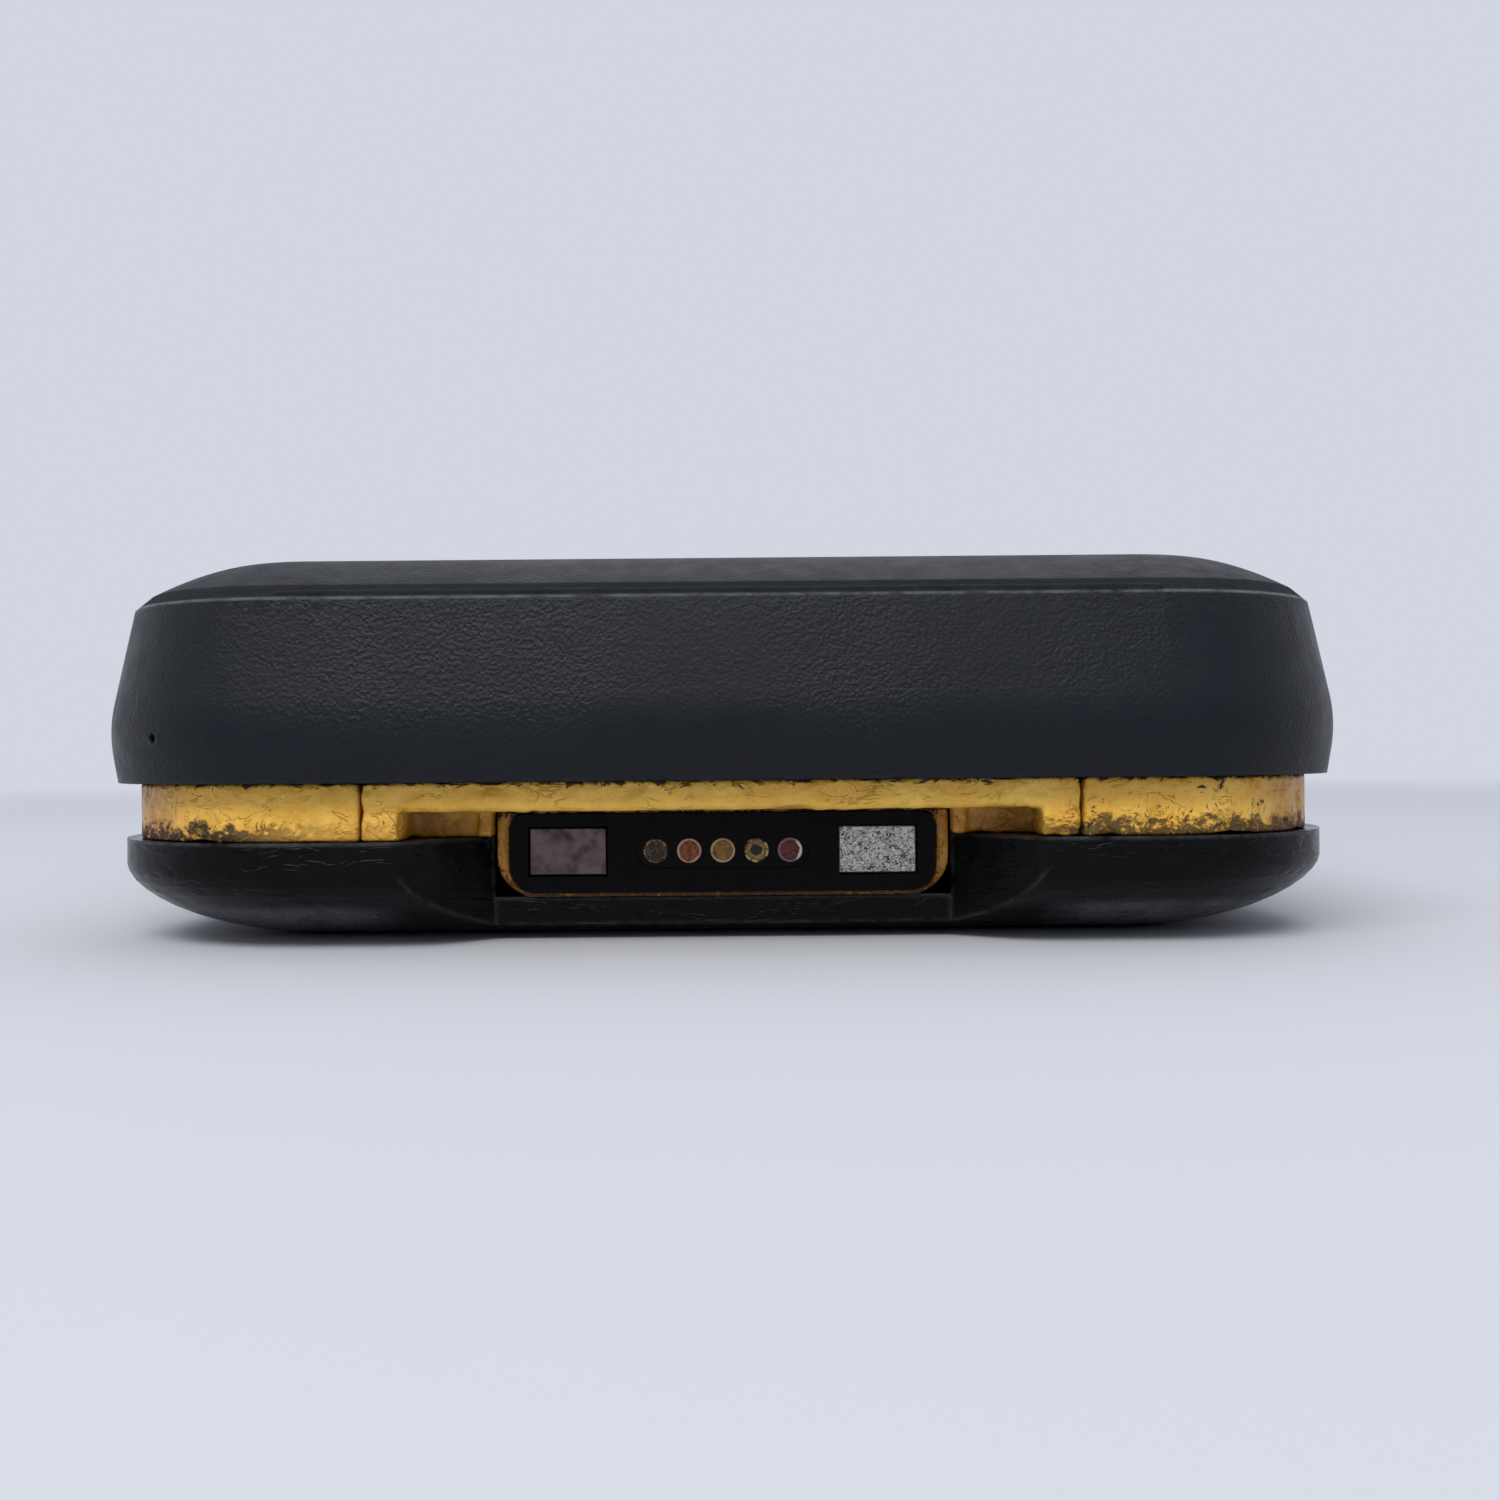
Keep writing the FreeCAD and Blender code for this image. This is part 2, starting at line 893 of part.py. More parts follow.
def dock_contact(x):
    well_floor = notch_depth - connector_proud + contact_well_depth
    pin = cylinder_along(
        x, contact_height, well_floor - contact_proud, well_floor + contact_length, contact_radius
    )
    edges = [e for e in pin.Edges if abs(e.CenterOfMass.y - well_floor + contact_proud) < slip_gap / 2]
    return pin.makeFillet(contact_proud / 2, edges[:1])


def fitted_plate(sign):
    y0 = notch_depth - connector_proud + plate_sink
    plate = catch_plate(sign, 0, y0, y0 + plate_thickness)
    edges = [e for e in plate.Edges if abs(e.CenterOfMass.y - y0) < plate_round / 2]
    return plate.makeFillet(plate_round, edges)


def dock_flex():
    back = notch_depth - connector_proud + connector_length
    return box(-flex_half, flex_half, back, back + flex_thickness, flex_low, board_underside)


# Inside


def chassis():
    inset = band_inner_inset + slip_gap
    plate = outline_block(inset, chassis_underside, band_top)
    rim = ring(inset, chassis_rim, bumper_top, chassis_underside)
    posts = []
    for y in (post_end_distance, body_length - post_end_distance):
        for x in (-post_x, post_x):
            posts.append(cylinder_up(x, y, band_top, board_underside, post_radius))
    back = notch_depth - connector_proud + connector_length
    centre_room = box(
        -centre_piece_half - part_gap,
        centre_piece_half + part_gap,
        0,
        recess_depth + recess_wall + slip_gap,
        bumper_top,
        band_top,
    )
    dock_room = box(
        -bay_half - part_gap, bay_half + part_gap, 0, bay_end, bumper_top, chassis_underside
    )
    flex_slot = box(
        -flex_half - part_gap,
        flex_half + part_gap,
        back - part_gap,
        back + flex_thickness + part_gap,
        chassis_underside,
        band_top,
    )
    tools = [centre_room, dock_room, flex_slot]
    tools += screw_holes(screw_shank_radius + part_gap, chassis_underside, band_top)
    return cut_all(fuse_all([plate, rim] + posts), tools)


def main_board():
    y1 = body_length - board_end_gap
    board = rounded_block(
        -board_half, board_half, board_start, y1, board_underside, board_top, board_round
    )
    return cut_all(board, screw_holes(boss_radius + seam_gap, board_underside, board_top))


def rf_shield():
    top = inner_face - module_thickness
    shield = centred_block(0, display_y, shield_width, shield_length, board_top, top, shield_round)
    top_edges = [e for e in shield.Edges if e.BoundBox.ZMin > top - slip_gap]
    return shield.makeFillet(shield_round / 2, top_edges)


def housing_seal():
    return ring(shell_wall + stop_gap, seal_width, band_top, band_top + seal_height)


def display_module():
    top = inner_face
    return centred_block(0, display_y, module_width, module_length, top - module_thickness, top, module_round)


def display_lens():
    top = body_height - lens_sink
    lens = centred_block(
        0, display_y, lens_width, lens_length, top - lens_thickness, top, lens_round - seam_gap
    )
    rim = [e for e in lens.Edges if e.BoundBox.ZMin > top - slip_gap]
    return lens.makeChamfer(lens_sink, rim)


def display_gasket():
    top = body_height - lens_sink - lens_thickness
    width = lens_width - 2 * window_margin
    length = lens_length - 2 * window_margin
    outer = centred_block(0, display_y, width, length, inner_face, top, lens_round)
    inner = centred_block(
        0,
        display_y,
        width - 2 * gasket_width,
        length - 2 * gasket_width,
        inner_face,
        top,
        lens_round - gasket_width,
    )
    return outer.cut(inner)


def speaker_grille():
    top = body_height - grille_sink
    plate = centred_block(
        0, speaker_y, grille_width, grille_length, top - grille_thickness, top, grille_round - seam_gap
    )
    slots = []
    for i in range(slot_count):
        y = speaker_y + (i - (slot_count - 1) / 2) * slot_pitch
        slots.append(
            centred_block(
                0,
                y,
                grille_width - 2 * slot_side_margin,
                slot_width,
                top - grille_thickness,
                top,
                slot_round,
            )
        )
    return cut_all(plate, slots)


def speaker():
    rim = cylinder_up(0, speaker_y, inner_face - speaker_rim, inner_face, speaker_radius)
    cone_low = inner_face - speaker_height / 2
    cone = Part.makeCone(
        magnet_radius,
        speaker_radius - speaker_rim,
        speaker_height / 2 - speaker_rim,
        V(0, speaker_y, cone_low),
        UP,
    )
    magnet = cylinder_up(0, speaker_y, inner_face - speaker_height, cone_low, magnet_radius)
    return fuse_all([rim, cone, magnet])


def microphone():
    return cylinder_up(0, microphone_y, board_top, inner_face, microphone_radius)


def status_light():
    return cylinder_up(light_x, body_length - light_from_top, board_top, body_height, light_radius)


def battery_pack():
    y = battery_start + battery_length / 2
    pack = centred_block(
        0, y, battery_width, battery_length, door_thickness + stop_gap, chassis_underside, battery_round
    )
    return pack


def battery_contacts():
    blades = []
    for i in (-1, 0, 1):
        x = i * battery_blade_pitch
        half = battery_blade_width / 2
        y1 = battery_start
        y0 = y1 - battery_blade_width
        upright = box(
            x - half, x + half, y1 - battery_blade_thickness, y1, floor_top, chassis_underside
        )
        foot = box(
            x - half,
            x + half,
            y0,
            y1,
            chassis_underside - battery_blade_thickness,
            chassis_underside,
        )
        blades.append(fuse_all([upright, foot]))
    return Part.makeCompound(blades)


def housing_screws():
    head_top = screw_head_sink + screw_head_height
    screws = []
    for y in screw_rows:
        for x in (-screw_x, screw_x):
            head = cylinder_up(x, y, screw_head_sink, head_top, screw_head_radius)
            shank = cylinder_up(x, y, head_top, screw_reach, screw_shank_radius)
            drive = Part.Face(
                Part.makePolygon(
                    [
                        V(
                            x + screw_drive_radius * math.cos(math.pi / 3 * i),
                            y + screw_drive_radius * math.sin(math.pi / 3 * i),
                            screw_head_sink,
                        )
                        for i in range(7)
                    ]
                )
            ).extrude(V(0, 0, screw_drive_depth))
            screws.append(fuse_all([head, shank]).cut(drive))
    return Part.makeCompound(screws)


def housing_inserts():
    inserts = []
    for y in screw_rows:
        for x in (-screw_x, screw_x):
            outer = cylinder_up(x, y, band_top, band_top + insert_length, insert_radius)
            bore = cylinder_up(x, y, band_top, band_top + insert_length, insert_bore_radius)
            inserts.append(outer.cut(bore))
    return Part.makeCompound(inserts)


def clip_inserts():
    inserts = []
    for x in (-clip_spacing / 2, clip_spacing / 2):
        outer = cylinder_up(x, clip_y, clip_sink, floor_top, clip_insert_radius)
        bore = cylinder_up(x, clip_y, clip_sink, floor_top, clip_bore_radius)
        inserts.append(outer.cut(bore))
    return Part.makeCompound(inserts)


# Keys and buttons


def front_key(x, y):
    flange_top = inner_face - stop_gap
    flange_low = flange_top - key_flange_thickness
    cap_top = body_height + key_proud
    cap = centred_block(x, y, key_width, key_length, flange_low, cap_top, key_round - button_gap)
    rim = [e for e in cap.Edges if e.BoundBox.ZMin > cap_top - slip_gap]
    cap = cap.makeFillet(key_edge_round, rim)
    flange = centred_block(
        x,
        y,
        key_width + 2 * key_flange,
        key_length + 2 * key_flange,
        flange_low,
        flange_top,
        key_round,
    )
    stem_low = board_top + dome_height + key_travel + stop_gap
    stem = cylinder_up(x, y, stem_low, flange_low, key_stem_radius)
    return fuse_all([cap, flange, stem])


def key_domes():
    domes = []
    for _, x, y in key_places:
        base = cylinder_up(x, y, board_top, board_top + dome_height / 2, dome_radius)
        crown = Part.makeCone(
            dome_radius, dome_radius / 2, dome_height / 2, V(x, y, board_top + dome_height / 2), UP
        )
        domes.append(fuse_all([base, crown]))
    return Part.makeCompound(domes)


def side_button(y, length, height):
    """A side button: a cap through the wall and a flange that stops against the wall's inside."""
    outer_x = -half_width + side_button_inset
    flange_x = -wall_inner_half + stop_gap
    cap = rounded_side_block(outer_x, flange_x + side_flange_thickness, y, length, side_height, height)
    rim = [e for e in cap.Edges if e.BoundBox.XMax < outer_x + slip_gap]
    cap = cap.makeFillet(side_button_round, rim)
    flange = rounded_side_block(
        flange_x,
        flange_x + side_flange_thickness,
        y,
        length + 2 * side_flange,
        side_height,
        height + 2 * side_flange,
    )
    return fuse_all([cap, flange])


def side_switch(y, length):
    x0 = -wall_inner_half + stop_gap + side_flange_thickness + side_travel + stop_gap
    return box(x0, x0 + switch_depth, y - length / 2, y + length / 2, board_top, board_top + switch_height)


def side_switches():
    return Part.makeCompound([side_switch(y, side_switch_length) for _, y in side_button_places])


# Top end


def antenna():
    y0 = body_length
    collar = cylinder_along(antenna_x, top_height, y0, y0 + antenna_collar_length, antenna_collar_radius)
    whip = Part.makeCone(
        antenna_radius,
        antenna_tip_radius,
        antenna_length - antenna_collar_length,
        V(antenna_x, y0 + antenna_collar_length, top_height),
        ALONG,
    )
    tip_y = y0 + antenna_length
    tip = [e for e in whip.Edges if abs(e.CenterOfMass.y - tip_y) < slip_gap]
    whip = whip.makeFillet(antenna_tip_round, tip[:1])
    return fuse_all([collar, whip])


def antenna_socket():
    sleeve = cylinder_along(
        antenna_x, top_height, body_length - socket_depth, body_length, socket_radius
    )
    flange = cylinder_along(
        antenna_x,
        top_height,
        top_wall_inside - socket_flange_thickness,
        top_wall_inside,
        socket_flange_radius,
    )
    return fuse_all([sleeve, flange])


def knob(x, radius, length):
    """A fluted knob with a blind bore for its shaft."""
    y0 = body_length + knob_gap
    y1 = y0 + length
    body = cylinder_along(x, top_height, y0, y1, radius)
    rim = [e for e in body.Edges if abs(e.CenterOfMass.y - y1) < slip_gap]
    body = body.makeFillet(knob_groove_radius, rim[:1])
    grooves = []
    for i in range(knob_grooves):
        angle = 2 * math.pi * i / knob_grooves
        groove_x = x + radius * math.cos(angle)
        groove_z = top_height + radius * math.sin(angle)
        grooves.append(
            cylinder_along(groove_x, groove_z, y0 + 2 * knob_groove_radius, y1 + 1, knob_groove_radius)
        )
    bore = cylinder_along(x, top_height, y0, y1 - shaft_tip_cover, shaft_radius)
    return cut_all(body, grooves + [bore])


def knob_shaft(x, knob_length):
    y1 = body_length + knob_gap + knob_length - shaft_tip_cover
    return cylinder_along(x, top_height, body_length - shaft_depth, y1, shaft_radius)


def encoder(x):
    y0 = top_wall_inside - encoder_length
    low = top_height - encoder_half
    high = top_height + encoder_half
    body = box(x - encoder_half, x + encoder_half, y0, top_wall_inside, low, high)
    bore_start = body_length - shaft_depth - stop_gap
    return body.cut(
        cylinder_along(x, top_height, bore_start, top_wall_inside, shaft_radius + running_gap)
    )


def emergency_button():
    flange_y = top_wall_inside - stop_gap
    flange_end = flange_y - emergency_flange_thickness
    top = body_length + emergency_proud
    cap = cylinder_along(emergency_x, top_height, flange_end, top, emergency_radius)
    rim = [e for e in cap.Edges if abs(e.CenterOfMass.y - top) < slip_gap]
    cap = cap.makeFillet(emergency_round, rim[:1])
    flange = cylinder_along(
        emergency_x,
        top_height,
        flange_end,
        flange_y,
        emergency_radius + emergency_flange,
    )
    return fuse_all([cap, flange])


def emergency_switch():
    y1 = top_wall_inside - 2 * stop_gap - emergency_flange_thickness - emergency_travel
    half = emergency_switch_half
    return box(
        emergency_x - half, emergency_x + half, y1 - switch_depth, y1, top_height - half, top_height + half
    )


def write(name, shape):
    centred = shape.copy()
    centred.translate(V(0, -overall_length / 2, 0))
    centred.exportStep("parts/" + name + ".step")


def build():
    os.makedirs("parts", exist_ok=True)
    write("front_shell", front_shell())
    write("rear_bumper", rear_bumper())
    write("rear_cover", rear_cover())
    write("battery_door", battery_door())
    write("door_lock", door_lock())
    write("band_centre", band_centre())
    for name, piece in band_pieces().items():
        write(name, piece)
    write("dock_surround", dock_surround())
    write("dock_connector", dock_connector())
    for number, x in enumerate(contact_xs(), 1):
        write("dock_contact_" + str(number), dock_contact(x))
    write("catch_plate_left", fitted_plate(-1))
    write("catch_plate_right", fitted_plate(1))
    write("dock_flex", dock_flex())
    write("chassis", chassis())
    write("housing_seal", housing_seal())
    write("main_board", main_board())
    write("rf_shield", rf_shield())
    write("display_module", display_module())
    write("display_gasket", display_gasket())
    write("display_lens", display_lens())
    write("speaker_grille", speaker_grille())
    write("speaker", speaker())
    write("microphone", microphone())
    write("status_light", status_light())
    write("battery_pack", battery_pack())
    write("battery_contacts", battery_contacts())
    write("housing_screws", housing_screws())
    write("housing_inserts", housing_inserts())
    write("clip_inserts", clip_inserts())
    for name, x, y in key_places:
        write(name, front_key(x, y))
    write("key_domes", key_domes())
    write("ptt_button", side_button(ptt_y, ptt_length, ptt_height))
    write("ptt_switch", side_switch(ptt_y, ptt_switch_length))
    for name, y in side_button_places:
        write(name, side_button(y, side_button_length, side_button_height))
    write("side_switches", side_switches())
    write("antenna", antenna())
    write("antenna_socket", antenna_socket())
    write("channel_knob", knob(channel_x, channel_knob_radius, channel_knob_length))
    write("channel_shaft", knob_shaft(channel_x, channel_knob_length))
    write("channel_encoder", encoder(channel_x))
    write("volume_knob", knob(volume_x, volume_knob_radius, volume_knob_length))
    write("volume_shaft", knob_shaft(volume_x, volume_knob_length))
    write("volume_encoder", encoder(volume_x))
    write("emergency_button", emergency_button())
    write("emergency_switch", emergency_switch())


build()
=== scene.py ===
import bpy
import bmesh
import math
from mathutils import Matrix, Vector, noise


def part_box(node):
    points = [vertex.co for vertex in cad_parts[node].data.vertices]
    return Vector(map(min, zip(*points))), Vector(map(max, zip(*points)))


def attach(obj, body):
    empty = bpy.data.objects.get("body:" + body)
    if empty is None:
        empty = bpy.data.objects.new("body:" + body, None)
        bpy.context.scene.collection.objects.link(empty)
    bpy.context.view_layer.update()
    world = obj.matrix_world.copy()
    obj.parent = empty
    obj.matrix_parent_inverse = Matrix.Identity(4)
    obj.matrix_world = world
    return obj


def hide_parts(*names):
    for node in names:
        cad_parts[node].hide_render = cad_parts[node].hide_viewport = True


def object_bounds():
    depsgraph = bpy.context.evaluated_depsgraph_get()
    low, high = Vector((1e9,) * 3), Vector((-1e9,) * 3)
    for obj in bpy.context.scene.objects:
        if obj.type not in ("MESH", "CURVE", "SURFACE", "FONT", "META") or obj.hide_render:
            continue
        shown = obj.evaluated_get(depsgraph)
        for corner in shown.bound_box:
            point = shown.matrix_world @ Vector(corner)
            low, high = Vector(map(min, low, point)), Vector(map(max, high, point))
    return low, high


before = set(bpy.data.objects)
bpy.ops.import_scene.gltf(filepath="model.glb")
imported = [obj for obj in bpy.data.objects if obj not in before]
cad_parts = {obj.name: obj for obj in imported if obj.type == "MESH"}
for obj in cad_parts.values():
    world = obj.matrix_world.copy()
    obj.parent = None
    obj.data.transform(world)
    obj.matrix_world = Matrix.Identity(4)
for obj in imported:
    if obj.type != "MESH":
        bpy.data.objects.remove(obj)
cad_low, cad_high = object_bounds()

MM = 0.001

# The dock end, which the camera looks at, is the lowest Y of the casing.
shell_low, shell_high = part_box("front_shell")
end_y = shell_low.y
base_z = cad_low.z

# Places on the casing that the materials follow, in millimetres
border_width = 3.3
recess_front = end_y / MM + 2.6
recess_back = end_y / MM + 5.4
ridge_z = shell_high.z / MM - 3.15
wrinkle_low = shell_high.z / MM - 4.8
wrinkle_high = shell_high.z / MM - 3.5
visor_low, visor_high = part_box("band_centre")
visor_free_z = (visor_low.z + visor_high.z) / 2 / MM
visor_front = visor_low.y / MM

# The display's panel and figures, in millimetres
panel_rim = 1.5
ink_height = 0.03
display_margin = 3.0
figure_width = 6.2
figure_height = 11.2
figure_pitch = 9.5
figure_stroke = 1.1

# Shared values, and profiles as (inset, height) in millimetres
sharp_angle = math.radians(28)
door_sharp_angle = math.radians(9)
edge_radius = 0.5 * MM
key_flange = 0.8
key_crown = ((0.06, 0.52), (0.20, 0.36), (0.42, 0.26), (0.9, 0.17), (1.8, 0.08), (3.0, 0.02), (4.0, 0.0))
lip_levels = (
    (-0.30, -0.2), (-0.32, 0.10), (-0.55, 0.30), (-1.15, 0.38), (-1.75, 0.30), (-2.05, 0.10), (-2.10, -0.2)
)
side_bump_levels = ((0, 0.2), (0, -0.04), (0.08, -0.10), (0.25, -0.14))
pointer_levels = ((0, -0.2), (0, 0.06), (0.12, 0.14))

# Camera
eye_distance = 89.4 * MM
eye_side = 1.8 * MM
eye_height = 12.0 * MM
eye_roll = math.radians(0.5)
lens_mm = 36.0
sensor_mm = 36.0

# Studio
floor_z = base_z - 0.05 * MM
fade_start = 150.0
fade_end = 480.0
sky_color = (0.645, 0.672, 0.752, 1.0)
sky_strength = 1.0
flag_radius = 0.62
flag_heights = (0.004, 0.09)
flag_columns = 24
floor_radii = (0.15, 0.4, 0.8, 1.4, 6.0)
softboxes = (
    ("softbox_top", (0.10, 0.30, 0.80), (0, 0, 0), (0.9, 0.9), 2.0),
    ("softbox_front", (-0.15, -0.48, 0.52), (0, -0.08, 0.005), (0.6, 0.25), 3.5),
)


# Shader helpers


class Graph:
    """A short way to write a node material. Its coordinates are the model's own, in millimetres."""

    def __init__(self, name):
        self.material = bpy.data.materials.new(name)
        self.material.use_nodes = True
        self.tree = self.material.node_tree
        self.shader = self.tree.nodes["Principled BSDF"]
        place = self.tree.nodes.new("ShaderNodeTexCoord")
        scaled = self.tree.nodes.new("ShaderNodeVectorMath")
        scaled.operation = "SCALE"
        scaled.inputs["Scale"].default_value = 1 / MM
        self.link(place.outputs["Object"], scaled.inputs[0])
        self.place = scaled.outputs[0]

    def link(self, source, target):
        self.tree.links.new(source, target)

    def give(self, socket, value):
        """A value or another node's output into a socket."""
        if hasattr(value, "links"):
            self.link(value, socket)
        elif isinstance(value, tuple) and len(value) == 3 and len(socket.default_value) == 4:
            socket.default_value = (*value, 1.0)
        else:
            socket.default_value = value

    def axis(self, name):
        """One of the coordinates: X, Y or Z."""
        split = self.tree.nodes.new("ShaderNodeSeparateXYZ")
        self.link(self.place, split.inputs[0])
        return split.outputs[name]

    def stretch(self, factors, shift=(0.0, 0.0, 0.0)):
        """The coordinates, scaled apart along X, Y and Z."""
        node = self.tree.nodes.new("ShaderNodeMapping")
        node.inputs["Scale"].default_value = factors
        node.inputs["Location"].default_value = shift
        self.link(self.place, node.inputs["Vector"])
        return node.outputs[0]

    def noise(self, scale, detail=3.0, rough=0.55, place=None, warp=0.0):
        node = self.tree.nodes.new("ShaderNodeTexNoise")
        node.inputs["Scale"].default_value = scale
        node.inputs["Detail"].default_value = detail
        node.inputs["Roughness"].default_value = rough
        node.inputs["Distortion"].default_value = warp
        self.link(place or self.place, node.inputs["Vector"])
        return node.outputs["Fac"]

    def cells(self, scale, feature="F1", place=None):
        node = self.tree.nodes.new("ShaderNodeTexVoronoi")
        node.feature = feature
        node.inputs["Scale"].default_value = scale
        self.link(place or self.place, node.inputs["Vector"])
        return node.outputs["Distance"]

    def math(self, operation, a, b=0.0, c=0.0, clamp=False):
        node = self.tree.nodes.new("ShaderNodeMath")
        node.operation = operation
        node.use_clamp = clamp
        self.give(node.inputs[0], a)
        self.give(node.inputs[1], b)
        self.give(node.inputs[2], c)
        return node.outputs[0]

    def between(self, value, low, high, out_low=0.0, out_high=1.0):
        """Maps low..high to out_low..out_high, smoothly and clamped."""
        node = self.tree.nodes.new("ShaderNodeMapRange")
        node.interpolation_type = "SMOOTHSTEP"
        self.link(value, node.inputs["Value"])
        node.inputs["From Min"].default_value = low
        node.inputs["From Max"].default_value = high
        node.inputs["To Min"].default_value = out_low
        node.inputs["To Max"].default_value = out_high
        return node.outputs["Result"]

    def mix(self, share, a, b):
        node = self.tree.nodes.new("ShaderNodeMix")
        node.data_type = "RGBA"
        self.give(node.inputs["Factor"], share)
        self.give(node.inputs[6], a)
        self.give(node.inputs[7], b)
        return node.outputs[2]

    def bump(self, height, distance, strength=1.0, below=None):
        node = self.tree.nodes.new("ShaderNodeBump")
        node.inputs["Strength"].default_value = strength
        node.inputs["Distance"].default_value = distance
        self.link(height, node.inputs["Height"])
        if below is not None:
            self.link(below, node.inputs["Normal"])
        return node.outputs["Normal"]

    def rounding(self, radius):
        """Normals that turn softly over an edge, as if it had that radius."""
        bevel = self.tree.nodes.new("ShaderNodeBevel")
        bevel.samples = 4
        bevel.inputs["Radius"].default_value = radius
        return bevel.outputs[0]

    def edges(self, radius=edge_radius):
        """How far the surface turns near a point: 0 on a flat, more on an edge; the materials use it for
        edge wear and, on the black parts, for a painted highlight.
        """
        geometry = self.tree.nodes.new("ShaderNodeNewGeometry")
        dot = self.tree.nodes.new("ShaderNodeVectorMath")
        dot.operation = "DOT_PRODUCT"
        self.link(self.rounding(radius), dot.inputs[0])
        self.link(geometry.outputs["Normal"], dot.inputs[1])
        return self.math("SUBTRACT", 1.0, dot.outputs["Value"])

    def finish(self, color=None, roughness=None, metallic=None, normal=None, specular=None):
        """Gives the shader what is named, and returns the material."""
        wanted = {
            "Base Color": color,
            "Roughness": roughness,
            "Metallic": metallic,
            "Normal": normal,
            "Specular IOR Level": specular,
        }
        for name, value in wanted.items():
            if value is not None:
                self.give(self.shader.inputs[name], value)
        return self.material


# Materials


def black_shell():
    """Textured satin black with a blue cast: fine pebbling, dust, a few pale specks, rubbed edges that are
    also a painted highlight, and a painted highlight along the ridge line.
    """
    g = Graph("shell_black")
    tone = g.noise(0.09, 4.0)
    base = g.mix(tone, (0.0050, 0.0062, 0.0092), (0.0084, 0.0102, 0.0144))
    scuff = g.between(g.noise(1.3, 6.0, 0.7, g.stretch((1.0, 1.0, 2.4))), 0.64, 0.76)
    base = g.mix(g.math("MULTIPLY", scuff, 0.30), base, (0.034, 0.037, 0.042))
    specks = g.between(g.cells(0.32), 0.022, 0.010)
    base = g.mix(g.math("MULTIPLY", specks, 0.8), base, (0.22, 0.23, 0.23))
    # Lighter along the edges: partly wear, partly a painted highlight on them.
    worn = g.between(g.edges(), 0.02, 0.16)
    edge_tint = g.math("MULTIPLY", worn, g.between(g.noise(0.7, 5.0, 0.7), 0.35, 0.65))
    base = g.mix(g.math("MULTIPLY", edge_tint, 0.55), base, (0.050, 0.054, 0.061))
    # Painted highlight: a thin lighter line along the ridge, broken into patches by noise.
    off_ridge = g.math("ABSOLUTE", g.math("SUBTRACT", g.axis("Z"), ridge_z))
    rubbed = g.between(g.noise(0.4, 4.0, 0.7), 0.30, 0.60)
    ridge_highlight = g.math("MULTIPLY", g.between(off_ridge, 0.14, 0.04), rubbed)
    base = g.mix(g.math("MULTIPLY", ridge_highlight, 0.75), base, (0.085, 0.092, 0.104))
    pebble = g.cells(4.2, "SMOOTH_F1")
    fine = g.noise(6.0, 3.0, 0.6)
    middle = g.between(g.noise(0.045, 2.0), 0.40, 0.60, 0.35, 1.0)
    height = g.math("MULTIPLY", g.math("ADD", pebble, g.math("MULTIPLY", fine, 0.9)), middle)
    broad = g.bump(g.noise(0.16, 2.0), 0.10 * MM, 0.6, g.rounding(0.35 * MM))
    ridge = g.between(g.axis("Z"), wrinkle_low, wrinkle_high)
    ridge = g.math("MULTIPLY", ridge, g.between(g.math("ABSOLUTE", g.axis("X")), 14.0, 30.0, 0.15, 1.0))
    fold = g.noise(1.4, 4.0, 0.7, g.stretch((0.55, 0.55, 1.7)), 1.2)
    folds = g.math("MULTIPLY", g.between(fold, 0.50, 0.62), ridge)
    creased = g.bump(folds, 0.05 * MM, 0.8, broad)
    normal = g.bump(height, 0.055 * MM, 1.0, creased)
    rough = g.between(g.noise(0.6, 4.0), 0.3, 0.7, 0.34, 0.44)
    above = g.between(g.axis("Z"), ridge_z + 0.08, ridge_z + 0.20)
    facet = g.math("MULTIPLY", above, g.between(g.axis("Z"), ridge_z + 1.00, ridge_z + 0.85))
    duller = g.math("ADD", g.math("MULTIPLY", above, 0.13), g.math("MULTIPLY", facet, 0.35))
    rough = g.math("ADD", rough, duller)
    return g.finish(base, rough, normal=normal, specular=0.18)


